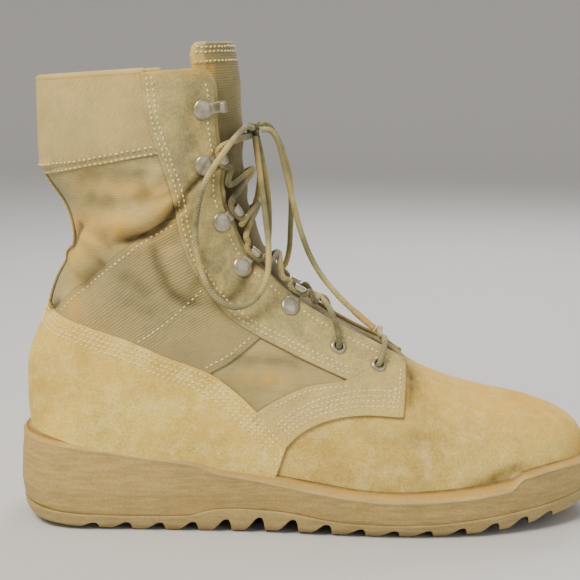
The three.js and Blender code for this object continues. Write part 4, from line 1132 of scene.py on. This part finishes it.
# The profile from the tuck under the upper, down the sloping lip and over a small raised bead to the wall:
# each row is mm below the lip and mm inset.
LIP_PROFILE = np.array([
    (2.5, 6.6), (0.7, 6.0), (0.1, 4.6), (0.0, 3.4), (0.3, 2.4), (1.0, 1.5), (2.0, 0.8), (2.9, 0.25),
    (3.5, -0.15), (4.1, -0.38), (4.8, -0.38), (5.5, -0.2), (6.4, -0.04), (8.0, 0.0),
])
LIP_INSET, LIP_DEPTH = LIP_PROFILE[0, 1], LIP_PROFILE[-1, 0]
WALL_STEPS = 22
UNDER_FEATHER = 1.2  # mm, from the upper's edge down to the wall's inner edge
SEAM_GAP, SEAM_INSET = 0.15, 0.3  # mm, where the wall meets the outsole
# In front of a small step the toe's bumper is higher. There and at the heel the bead is near the lip.
BUMPER_STEP, BUMPER_RISE, BUMPER_PROUD = (258, 265), 2.6, 0.5  # x of the step, and mm up and outward
BUMPER_DROP = 0.5  # how much less the lip slopes on the bumper, as a share
HEEL_LIP, HEEL_LIP_END = 0.55, (30, 150)  # the slope's share at the heel, and the x where that fades


def lip_share(x):
    """The lip's slope as a share of its profile: less over the heel, and half on the bumper."""
    heel = HEEL_LIP + (1 - HEEL_LIP) * smoothstep(x, *HEEL_LIP_END)
    return heel * (1 - BUMPER_DROP * smoothstep(x, *BUMPER_STEP))


bumper = smoothstep(stations, *BUMPER_STEP)
lip = lip + BUMPER_RISE * bumper
midsole = []
for side in (LATERAL, MEDIAL):
    rings = [wall_point(stations, feather_z - UNDER_FEATHER, side, LIP_INSET)]
    rings += [wall_point(stations, lip - drop * lip_share(stations), side, extra - BUMPER_PROUD * bumper)
              for drop, extra in LIP_PROFILE]
    under_bead = lip - LIP_DEPTH * lip_share(stations)
    for s in np.linspace(0, 1, WALL_STEPS)[1:]:
        level = under_bead * (1 - s) + (seam + SEAM_GAP) * s
        inset = SEAM_INSET * s**6 - BUMPER_PROUD * bumper * (1 - s) ** 2
        rings.append(wall_point(stations, level, side, inset))
    midsole.append(np.stack(rings))
midsole += [np.stack([midsole[0][k], midsole[1][k]]) for k in (0, -1)]  # the lids, above and below
print("lip from", round(lip.min(), 1), "to", round(lip.max(), 1), "mm above the floor")


# %% Where the sole is dusty and dirty, darker at its joint, and where a painted highlight lies
SOILED_WAIST = (122, 46)  # middle and reach in mm along the sole
# Middle and width of each mark, in mm below the lip: the orange dust, a darker line at the joint with the
# upper, dirt on the lip, and a painted highlight along the bead.
DUST_LINE, JOINT_DARKENING, LIP_SOIL, BEAD_HIGHLIGHT = (1.4, 1.9), (-0.1, 0.7), (1.2, 1.6), (4.4, 0.65)


def below(grids, column):
    """How far each point is below one of the lines of HEIGHTS."""
    return [curve(HEIGHTS, np.clip(g[..., 0], 0, SOLE_LENGTH), column) - g[..., 2] for g in grids]


drops = [(drop + BUMPER_RISE * smoothstep(grid[..., 0], *BUMPER_STEP)) / lip_share(grid[..., 0])
         for drop, grid in zip(below(midsole, LIP), midsole)]
marks = {
    "dust": [bell(drop, *DUST_LINE) + 0.06 for drop in drops],
    "dirt_and_shade": [
        0.75 * bell(drop, *JOINT_DARKENING) + 0.26 * bell(drop, *LIP_SOIL)
        + 0.2 * bell(grid[..., 0], *SOILED_WAIST) for drop, grid in zip(drops, midsole)
    ],
    # Here the inset places a painted highlight along the bead, not a cut edge.
    "inset": [FAR - FAR * bell(drop, *BEAD_HIGHLIGHT) for drop in drops],
}
new_piece("moulded_midsole_wall", midsole, MIDSOLE_RUBBER, ["midsole"], None, marks)

# %% The ripple outsole
RIPPLE_START, RIPPLE_PITCH = 43.6, 17.24
TOE_SPRING = 240.0  # where the tread starts to rise, and the ripples to crowd together
RIPPLE_CROWDING = 0.0023  # per mm
RIPPLE_DEPTHS = [2.8, 4.2, 4.8, 5.6, 7.4, 8.2, 7.6, 6.2, 4.8, 4.2, 4.4, 4.6, 4.6, 4.4, 3.0]
# One notch: mm from its top along the sole, and its share of the depth.
RIPPLE_SHAPE = np.array([
    (-7.6, 0), (-5.6, 0.26), (-3.6, 0.58), (-2.0, 0.84), (-0.8, 0.97), (0.5, 1.0), (1.7, 0.96),
    (2.5, 0.66), (2.9, 0.18), (3.1, 0),
])
BETWEEN_NOTCHES = 6  # mm from a notch's top to one more cross-section, on the flat
tops = RIPPLE_START + RIPPLE_PITCH * np.arange(len(RIPPLE_DEPTHS))
tops -= RIPPLE_CROWDING * np.maximum(tops - TOE_SPRING, 0) ** 2
notch_x = (tops[:, None] + RIPPLE_SHAPE[:, 0]).ravel()
notch_rise = (np.array(RIPPLE_DEPTHS)[:, None] * RIPPLE_SHAPE[:, 1]).ravel()
smooth_x = SOLE_LENGTH * (1 - np.cos(np.linspace(0, np.pi, 150))) / 2
inside = (smooth_x > notch_x[0]) & (smooth_x < notch_x[-1])
tread_x = np.unique(np.concatenate([smooth_x[~inside], notch_x, (tops + BETWEEN_NOTCHES)[:-1]]))
tread_rise = np.interp(tread_x, notch_x, notch_rise, left=0, right=0)
tread_z = np.maximum(curve(HEIGHTS, tread_x, TREAD), 0) + tread_rise
seam_z = np.maximum(curve(HEIGHTS, tread_x, OUTSOLE_TOP), 0)
EDGE = 0.9  # rounding of the tread's corner
END_REACH = 42.0  # mm from an end, over which the tread follows the rounded plan
# The step where the outsole is bonded on: mm below the seam, and mm inset.
SEAM_PROFILE = [(0.0, 0.3), (0.15, 0.1), (0.6, -0.06), (1.4, -0.06), (2.4, 0.0)]


def tread_point(z, side, extra=0.0):
    """As the wall, but its x is kept except near the ends, so that the ripples stay upright."""
    inset = np.interp(z, *INSETS.T) + extra
    near = lambda distance: np.clip(1 - distance / END_REACH, 0, 1)
    forward = tread_x + (HEEL_TUCK + inset) * near(tread_x) - inset * near(SOLE_LENGTH - tread_x)
    y = swing(tread_x) + side * plan_half(tread_x, side) * (1 - inset / PLAN_HALF)
    return np.stack(np.broadcast_arrays(forward, y, z), -1)


sides = []
for side in (LATERAL, MEDIAL):
    rings = [tread_point(seam_z - drop, side, inset) for drop, inset in SEAM_PROFILE]
    height = np.maximum(seam_z - SEAM_PROFILE[-1][0] - tread_z - EDGE, 0.05)
    rings += [tread_point(tread_z + EDGE + height * (1 - s), side) for s in np.linspace(0.15, 1, 7)]
    for a in np.radians([22.5, 45, 67.5, 90]):
        rings.append(tread_point(tread_z + EDGE * (1 - np.sin(a)), side, EDGE * (1 - np.cos(a))))
    sides.append(np.stack(rings))
floor_grid = np.linspace(0, 1, 12)[:, None, None]
under = sides[0][-1][None] * (1 - floor_grid) + sides[1][-1][None] * floor_grid
outsole_grids = sides + [under, np.stack([sides[0][0], sides[1][0]])]
seam_drops = below(outsole_grids, OUTSOLE_TOP)
# The walls are soiled from the floor up, and the notches are darkened all over as painted shade.
FOOT_SOIL, SOIL_REACH, NOTCH_SHADE = 0.4, 11, 2.0
in_notch = np.interp(under[..., 0], tread_x, tread_rise) > 0.2
soil_and_shade = [np.clip(FOOT_SOIL - grid[..., 2] / SOIL_REACH, 0, FOOT_SOIL) for grid in sides]
soil_and_shade += [NOTCH_SHADE * in_notch, 0 * seam_drops[3]]
marks = {
    "dust": [0.12 + 0 * drop for drop in seam_drops],
    "dirt_and_shade": soil_and_shade,
    # A paler line under the seam: a painted highlight on the bonding step.
    "inset": [FAR - FAR / 2 * bell(drop, 0.9, 0.6) for drop in seam_drops],
}
new_piece("ripple_outsole", outsole_grids, OUTSOLE_RUBBER, ["outsole"], None, marks,
          crisp=38)

# %% The footbed
BED_BACK, BED_FRONT, BED_INSIDE = 11, 300, 3.2  # mm: its ends, and its distance inside the last
BED_TOP, BED_UNDER = (4.2, 1.6), (0.3, 5.5)  # mm above the feather, and how much more at the rim
bed_rows = feathers
bed_half = bed_rows[:, 4:6] * (np.sin(np.radians(bed_rows[:, 6])) ** FULLNESS)[:, None]
bed_x = BED_BACK + (BED_FRONT - BED_BACK) * (1 - np.cos(np.linspace(0, np.pi, 90))) / 2
bed_z = np.interp(bed_x, bed_rows[:, 2], bed_rows[:, 3])
bed_wide = [np.maximum(np.interp(bed_x, bed_rows[:, 2], half) - BED_INSIDE, 0.2)[:, None]
            for half in bed_half.T]
bed_across = np.linspace(-1, 1, 30)
bed_y = swing(bed_x)[:, None] + np.where(bed_across < 0, *bed_wide) * bed_across
rim = bed_across[None] ** 6
bed = [np.stack(np.broadcast_arrays(bed_x[:, None], bed_y, bed_z[:, None] + lift + more * rim), -1)
       for lift, more in (BED_TOP, BED_UNDER)]
new_piece("pressed_footbed", bed, FOOTBED_FOAM, ["insole"], None, even_marks(bed, 0, 0, 0))

# %% [markdown]
# ## Eyelets and speed hooks
# Eyelets are turned rings, so a profile is spun round an axis. A hook is a domed button with a strap
# of sheet metal that runs to the throat and curls back over, to hold the lace.

# %% Hardware on the facing
SEAT = 1.75  # mm above the outside of the upper, where a washer sits on the suede
BESIDE = 0.07  # of the turn: a step to either side


def seat(row, inset, side):
    """Origin and axes at a place on the facing: to the throat, along the facing, and outward."""
    row = np.array(row)
    turn = turn_at(row, inset, side)
    out = normal(row, turn)
    nearer = skin(row, turn * (1 - BESIDE)) - skin(row, turn * (1 + BESIDE))
    along = unit(np.cross(out, nearer))
    origin = skin(row, turn) + out * (SEAT + relief(row, turn)[0])
    return origin, np.stack([np.cross(along, out), along, out])


def spun(profile, steps=28):
    """A profile of radius and height, spun round the third axis."""
    profile = np.asarray(profile, float)
    angle = np.linspace(0, 2 * np.pi, steps + 1)[None, :]
    r, h = profile[:, :1], profile[:, 1:]
    return np.stack(np.broadcast_arrays(r * np.cos(angle), r * np.sin(angle), h), -1)


HOLE_SHADE = material("unlit inside of the eyelet", {"Base Color": linear("#1C1710"), "Roughness": 1.0})[0]
# Radius and height, from the hole over the flange and back: then a near-black disc that closes the hole,
# painted shade for its unlit inside.
EYELET_PROFILE = [
    (2.1, -3.0), (2.1, 0.25), (2.35, 0.75), (2.9, 1.0), (3.6, 0.85), (4.15, 0.45), (4.3, -0.1),
    (2.6, -0.3), (2.6, -3.0), (2.1, -3.0),
]
SHADE_DISC_PROFILE = [(0, -2.6), (2.3, -2.6), (2.3, -2.9), (0, -2.9)]
for name, (row, inset) in EYELETS.items():
    for side_name, side in SIDES.items():
        origin, axes = seat(row, inset, side)
        parts = [spun(profile) @ axes + origin for profile in (EYELET_PROFILE, SHADE_DISC_PROFILE)]
        zones = [np.full((len(part) - 1, part.shape[1] - 1), zone) for zone, part in enumerate(parts)]
        new_piece(f"brass_eyelet_{side_name}_{name}", parts, [PAINTED_BRASS, HOLE_SHADE],
                  [f"eyelet_{side_name}_{name}"], zones=zones, crisp=50)

# %% The hooks
BUTTON_PROFILE = [
    (0, -0.2), (5.2, -0.2), (5.25, 0.15), (5.0, 0.65), (4.4, 1.05), (3.4, 1.4), (2.0, 1.65), (0, 1.75),
]
STRAP_WIDTH, STRAP_THICK = 5.6, 0.85
CURL_X, CURL_Z, CURL_RADIUS = 8.4, 3.2, 2.5  # mm from the button's middle: where the curl turns
STRAP_SQUARE = 0.45  # a power below 1 makes the strap's section a rounded oblong
STRAP_TIP = [0.95, 0.85, 0.62]  # shares of the width at its last three sections
curl = np.radians(np.linspace(-90, 125, 18))
strap_x = np.concatenate([[2.0, 4.0, 5.4, 7.0], CURL_X + CURL_RADIUS * np.cos(curl)])
strap_z = np.concatenate([[0.9, 0.75, 0.7, 0.7], CURL_Z + CURL_RADIUS * np.sin(curl)])
strap_path = np.stack([strap_x, strap_z], -1)
strap_out = unit(np.gradient(strap_path, axis=0)) @ np.array([[0, 1], [-1, 0]])
loop = np.linspace(0, 2 * np.pi, 17)
wide, thick = (np.sign(v) * np.abs(v) ** STRAP_SQUARE * size / 2
               for v, size in ((np.cos(loop), STRAP_WIDTH), (np.sin(loop), STRAP_THICK)))
taper = np.concatenate([np.ones(len(strap_path) - len(STRAP_TIP)), STRAP_TIP])
strap_x, strap_z = (strap_path[:, k : k + 1] + strap_out[:, k : k + 1] * thick for k in (0, 1))
strap = np.stack(np.broadcast_arrays(strap_x, taper[:, None] * wide, strap_z), -1)
ends = [np.repeat(strap[k].mean(axis=0)[None, None], len(loop), axis=1) for k in (0, -1)]
strap = np.concatenate([ends[0], strap, ends[1]])
for name, (row, inset) in HOOKS.items():
    for side_name, side in SIDES.items():
        origin, axes = seat(row, inset, side)
        parts = [part @ axes + origin for part in (spun(BUTTON_PROFILE), strap)]
        new_piece(f"brass_hook_{side_name}_{name}", parts, PAINTED_BRASS,
                  [f"hook_{side_name}_{name}"], crisp=50)

# %% [markdown]
# ## The lace
# One lace of round braid comes up through the lowest eyelets as a bar, crosses over the tongue from
# hook to hook, and ends in a bow. Its loops and ends hang free, so each is made as a tube of its own
# length. A mesh tube carries the plait's UVs, which a curve's bevel would not keep.

# %% The lace under the bow
LACE = 3.0  # mm across
WAVE = 9.0  # mm of lace for one radian between its dirty and its dusty lengths
OVER_EYELET, OVER_EDGE, OVER_TONGUE = 5.3, 4.9, 0.6  # mm above the last
IN_HOLE = (-1.2, 2.6)  # mm: from where to where the lace is straight in an eyelet
LACE_NEAR, LACE_FAR = 1.5, 2.9  # mm beside the strap, inside the curl and on the way out of it


def above(row, y, lift):
    """A point at a distance y from the middle plane, lifted off the last."""
    row = np.array(float(row))
    turn = turn_at(row, y, LATERAL if y < 0 else MEDIAL)
    return skin(row, turn) + normal(row, turn) * lift


def edge_point(row, side):
    """The point over the throat's edge: half of the opening away from the middle plane."""
    return above(row, side * float(section(np.array(row))[4]), OVER_EDGE)


def round_hook(row, inset, side):
    """Four points round the inside of a hook's curl."""
    origin, axes = seat(row, inset, side)
    near, far = STRAP_WIDTH / 2 + LACE_NEAR, STRAP_WIDTH / 2 + LACE_FAR
    out, back = CURL_X + 2.4, CURL_X - 0.3
    stops = [(out, far), (back, near), (back, -near), (out, -far)]
    return [origin + np.array([x, side * y, CURL_Z]) @ axes for x, y in stops]


def strand(side):
    """From the second eyelet over the tongue to each hook in turn, and into the knot."""
    row, inset = EYELETS["2"]
    points = [above(row, side * inset, lift) for lift in IN_HOLE]
    points.append(above(row + 0.12, side * (inset - 2.4), OVER_EYELET))
    used = list(HOOKS.values())[:-1]  # the top hook is left empty
    for next_row, next_inset in used:
        way = lambda share: row + share * (next_row - row)
        points += [edge_point(way(0.3), side), above(way(0.5), side * 0.5, OVER_TONGUE)]
        points.append(edge_point(way(0.64), -side))
        side, row = -side, next_row
        points += round_hook(next_row, next_inset, side)
    into_knot = KNOT + [-1.4, side * 3.9, -3.1]
    points += [above(row + 0.5, side * 20, OVER_TONGUE + 1.2), into_knot]
    return resample(spline(points, 40), 720)


def lace_piece(name, paths, nodes, soil_and_shade=0.2):
    """Tubes of lace: dirt with painted shade, and dust, take turns along them, as they lay under an edge or
    open.
    """
    made = [tube(path, LACE / 2) for path in paths]
    grids, uvs = [m[0] for m in made], [m[1] for m in made]
    wave = [np.sin(uv[..., 0] / WAVE) for uv in uvs]
    marks = {
        "dirt_and_shade": [np.clip(soil_and_shade + 0.35 * w, 0, 1) for w in wave],
        "dust": [np.clip(-0.1 - w, 0, 0.4) for w in wave],
        "inset": [FAR + 0 * w for w in wave],
    }
    return new_piece(name, grids, LACE_BRAID, nodes, uvs, marks)


def half_bar(side):
    """From the lowest eyelet up over the facing's edge and onto the tongue."""
    row, inset = EYELETS["1"]
    points = [above(row, side * inset, lift) for lift in IN_HOLE]
    points.append(above(row, side * (inset - 2.6), OVER_EYELET))
    return points + [edge_point(row, side * 1.02), above(row, side * 7, 1.9)]


# The crossings lie in the throat's shade, so they get more painted shade and dirt.
lace_piece("braided_lace_crossings", [strand(LATERAL), strand(MEDIAL)], ["lace_crossings"], soil_and_shade=0.5)
bar = half_bar(LATERAL) + [above(EYELETS["1"][0], 0.1, 1.3)] + half_bar(MEDIAL)[::-1]
lace_piece("braided_lace_bar", [resample(spline(bar, 30), 150)], ["lace_bar"])

# %% The knot of the bow, which is a trefoil
KNOT_SHAPE = [1.0, 1.15, 0.95]  # its stretch forward, across and up
t = np.linspace(0, 2 * np.pi, 161)
trefoil = [np.sin(3 * t) * 2.0, np.sin(t) + 2 * np.sin(2 * t), np.cos(t) - 2 * np.cos(2 * t)]
grid, uv = tube(KNOT + np.stack(trefoil, -1) * KNOT_SHAPE, 1.35, closed=True)
# The knot is marked fully dark: painted shade, for it sits in shadow.
knot = new_piece("bow_knot", [grid], LACE_BRAID, ["lace_knot"], [uv], even_marks([grid], 1, 0))

# %% The loops and ends of the bow
# Each route runs from the knot, by way of points in the maker's millimetres.
BOW = {
    "loop_lateral": [
        [126.4, -4.6, 206], [123.6, -14.5, 207], [119.2, -27.5, 203.2], [112.8, -38, 195], [105, -40.6, 183],
        [100.3, -39, 168.6], [98.9, -37, 153.2], [101.8, -36.8, 136], [108, -36.8, 124], [118, -36.6, 118.4],
        [127.4, -34.5, 121.5], [133.6, -31, 131], [135, -26, 145.5], [133.2, -20.5, 162.8],
        [130.8, -14.5, 180], [129, -8, 192.5], [127.7, -2.7, 201.2],
    ],
    "loop_medial": [
        [129.9, 2.6, 207.9], [133.6, 7, 207.5], [138.4, 13.6, 201], [142.6, 20.5, 190.5], [145.6, 26, 178],
        [146.4, 29.5, 164], [146, 31.6, 149], [145.2, 33, 137], [142.6, 33.6, 128.3], [138.2, 33.4, 125.4],
        [134.3, 32.4, 129.4], [133.8, 30, 139], [134.4, 26, 151], [134.2, 20.6, 165], [132.8, 15, 179],
        [130.6, 8.4, 191.5], [128.6, 2.4, 201.5],
    ],
    "end_lateral": [
        [131.2, -0.6, 205], [135.6, -0.6, 204.6], [139.4, -0.6, 199.5], [142, -0.6, 190], [144.8, -0.6, 178],
        [147.8, -1, 165.5], [151.2, -2, 153], [155.6, -3.6, 141], [161.2, -5.6, 131], [168, -7.8, 122.4],
        [175.2, -10, 115], [182.6, -12.4, 108.6], [189.6, -15, 103],
    ],
    "end_medial": [
        [126.2, 4.7, 205.4], [126.6, 10.5, 205.4], [127.8, 17, 201], [129.2, 22.6, 192.6],
        [129.6, 27, 182.6], [128.6, 30.6, 172], [126.6, 33.6, 162], [124, 36, 152.5],
    ],
}
TIP_LENGTH, TIP_PAST = 14.0, 0.3  # mm of moulded tip, and how far it passes the braid
TIP_RADIUS = [1.6] + [1.75] * 18 + [1.5]  # mm along the tip
SPACING = 0.9  # mm between the points of a path
for name, route in BOW.items():
    path = spline(route, 12)
    long = lengths(path)[-1]
    path = resample(path, int(long / SPACING))
    cord = lace_piece(f"braided_lace_{name}", [path], [f"lace_{name}"])
    companions = [knot]
    if name.startswith("end"):
        tip_path = resample(path, at=np.linspace(long - TIP_LENGTH, long + TIP_PAST, len(TIP_RADIUS)))
        grid, uv = tube(tip_path, TIP_RADIUS, 14)
        marks = even_marks([grid], 0.1, 0.3)
        companions = [new_piece(f"lace_tip_{name[4:]}", [grid], MIDSOLE_RUBBER, (), [uv], marks)]
    print(f"{name}: {long:.0f} mm")

# %% [markdown]
# ## The seams
# Every seam is a row of lockstitches: short dashes of thread, each a little sunk at its ends. A few
# capsules per centimetre, joined into one mesh per panel, read as real thread where a painted line
# would not.

# %% Rows of stitches
STITCH_PITCH, STITCH_LENGTH, THREAD_RADIUS = 2.7, 1.75, 0.45
SHAPE_PLACE = np.array([-0.5, -0.44, -0.2, 0.2, 0.44, 0.5])  # along a stitch, as a share of its length
SHAPE_GIRTH = np.array([0.0, 0.62, 1.0, 1.0, 0.62, 0.0])
SINK = 1.3  # of the thread's radius, by which a stitch's ends go into the cloth
KEEP_OFF = 6.6  # mm round a hook or an eyelet that a seam leaves free
UNEVEN = 0.12  # mm by which a worn stitch lies out of line
ON_TOP = 0.05  # mm that the thread's middle is above the cloth
chance = np.random.default_rng(11)


def covered(points):
    """True where a stitch would lie under a hook or an eyelet."""
    hidden = np.zeros(len(points), bool)
    for row, inset in [*HOOKS.values(), *EYELETS.values()]:
        for side in SIDES.values():
            hidden |= np.linalg.norm(points - seat(row, inset, side)[0], axis=-1) < KEEP_OFF
    return hidden


def laid(line, lift):
    """A seam's line on the boot, at a lift above the last, with its normals."""
    return shell(*line.T, lift + ON_TOP), normal(*line.T)


def sew(name, seams, pitch=STITCH_PITCH, size=STITCH_LENGTH, thread=DYED_THREAD):
    """A capsule for each stitch of each seam. A seam is a line of points with their normals."""
    grids = []
    angle = np.linspace(0, 2 * np.pi, 7)
    sink = -SINK * THREAD_RADIUS * (2 * SHAPE_PLACE) ** 4
    for place, out in seams:
        along = lengths(place)
        at = np.arange(pitch / 2, along[-1] - pitch / 2, pitch)
        centre, before, after = (resample(place, at=at + shift) for shift in (0, -size / 2, size / 2))
        keep = ~covered(centre)
        way = unit(after - before)[keep]
        up = np.stack([np.interp(at, along, c) for c in out.T], -1)[keep]
        across = unit(np.cross(up, way))
        nudge = UNEVEN * chance.standard_normal((3, keep.sum(), 1))
        centre = centre[keep] + way * nudge[0] + across * nudge[1] + up * 0.3 * nudge[2]
        side, lift = np.cos(angle)[None, None, :, None], np.sin(angle)[None, None, :, None]
        ring = across[:, None, None] * side + up[:, None, None] * lift
        spine = way[:, None] * (SHAPE_PLACE * size)[None, :, None] + up[:, None] * sink[None, :, None]
        body = (centre[:, None] + spine)[:, :, None]
        grids += list(body + ring * (SHAPE_GIRTH * THREAD_RADIUS)[None, :, None, None])
    return new_piece(name, grids, thread)


HIDE_TOP = HIDE + SEWN_DOWN
counter_rows = []
for inward in (2.4, 4.9, 7.4, 9.9):
    line = by_length(side_line(COUNTER_TOP, 240, inward), 300)
    line[-1, 1] = np.pi
    counter_rows.append(laid(round_the_back(line[8:]), HIDE_TOP))
for inset in (2.6, 5.2):
    tip = side_line([(144.6 - inset, 44.5), (143.6 - inset, 41), (141 - inset, 36.5)], 30)
    counter_rows += [laid(tip, HIDE_TOP), laid(on_side(tip, MEDIAL), HIDE_TOP)]
sew("thread_counter", counter_rows, size=1.7)

# %% Seams of the quarters
quarter_seams = [
    side_line(QUARTER_BACK, 300, 2.9)[3:],
    side_line(QUARTER_BACK, 300, 5.4)[3:],
    side_line(QUARTER_WINDOW[:-1], 120, 2.4),
]
foot_seams = [side_line(QUARTER_FOOT, 200, -d)[14:] for d in (4.3, 6.7, 9.1, 11.5)]
tab_seams = [
    side_line([(202.0, 82), (201.5, 74), (199.8, 64.6)], 40),
    side_line([(199.4, 75), (198.6, 70), (197.4, 66)], 30),
]
front_view = skin(*front_line.T)[:, [0, 2]]
front_seams = [side_line(resample(front_view[::-1], 26)[1:-1], 300, 3.4)]
quarter_seams += foot_seams + tab_seams + front_seams
rows = []
CLEAR = 0.8  # mm that a seam ends short of the panel which covers it
counter_z = np.array(COUNTER_TOP)[::-1]
for line in quarter_seams:
    seen = skin(*line.T)
    clear = seen[:, 2] > np.interp(seen[:, 0], *counter_z.T) + CLEAR
    for side in (LATERAL, MEDIAL):
        rows.append(laid(on_side(line[clear], side), HIDE_TOP))
sew("thread_quarters", rows)

# %% Seams of the shaft
collar_upper = [(82, 198.9), (62.3, 195.6), (41.1, 191.4), (17.4, 187.9)]
collar_lower = [(82, 195.8), (62.2, 192.3), (41, 188.1), (20, 184)]
rows = []
for points, lift in ((collar_upper, 1.0), (collar_lower, 0.75)):
    line = side_line(points, 160)
    line[-1, 1] = np.pi
    rows.append(laid(round_the_back(line), lift))
for points, inward in ((ANKLE_TOP, -3.4), (ANKLE_MIDDLE, 0), (ANKLE_FRONT, 3.6)):
    line = side_line(points, 160, inward)
    seen = skin(*line.T)
    back_x = np.interp(-seen[:, 2], *(np.array(QUARTER_BACK)[:, ::-1] * [-1, 1]).T)
    clear = (seen[:, 2] > np.interp(seen[:, 0], *counter_z.T) + CLEAR) & (seen[:, 0] < back_x - CLEAR)
    rows += [laid(on_side(line[clear], side), 0.9) for side in (LATERAL, MEDIAL)]
strip = np.abs(turn_at(back_rows, BACK_HALF - 2, LATERAL))
rows += [laid(np.stack([back_rows, np.pi + way * strip], -1)[14:], 1.4) for way in (-1, 1)]
sew("thread_shaft", rows, pitch=2.9, thread=THREAD)

# %% Seams of the tongue's hem
hem_seams = []
for drop in (2.6, 5.0, 9.8):
    k = np.argmin(np.abs(from_top[:, tongue_columns // 2] - drop))
    hem_seams.append((tongue_top[k, 2:-2] + 0.1 * tongue_out[k, 2:-2], tongue_out[k, 2:-2]))
sew("thread_tongue", hem_seams, pitch=2.6, size=1.8)
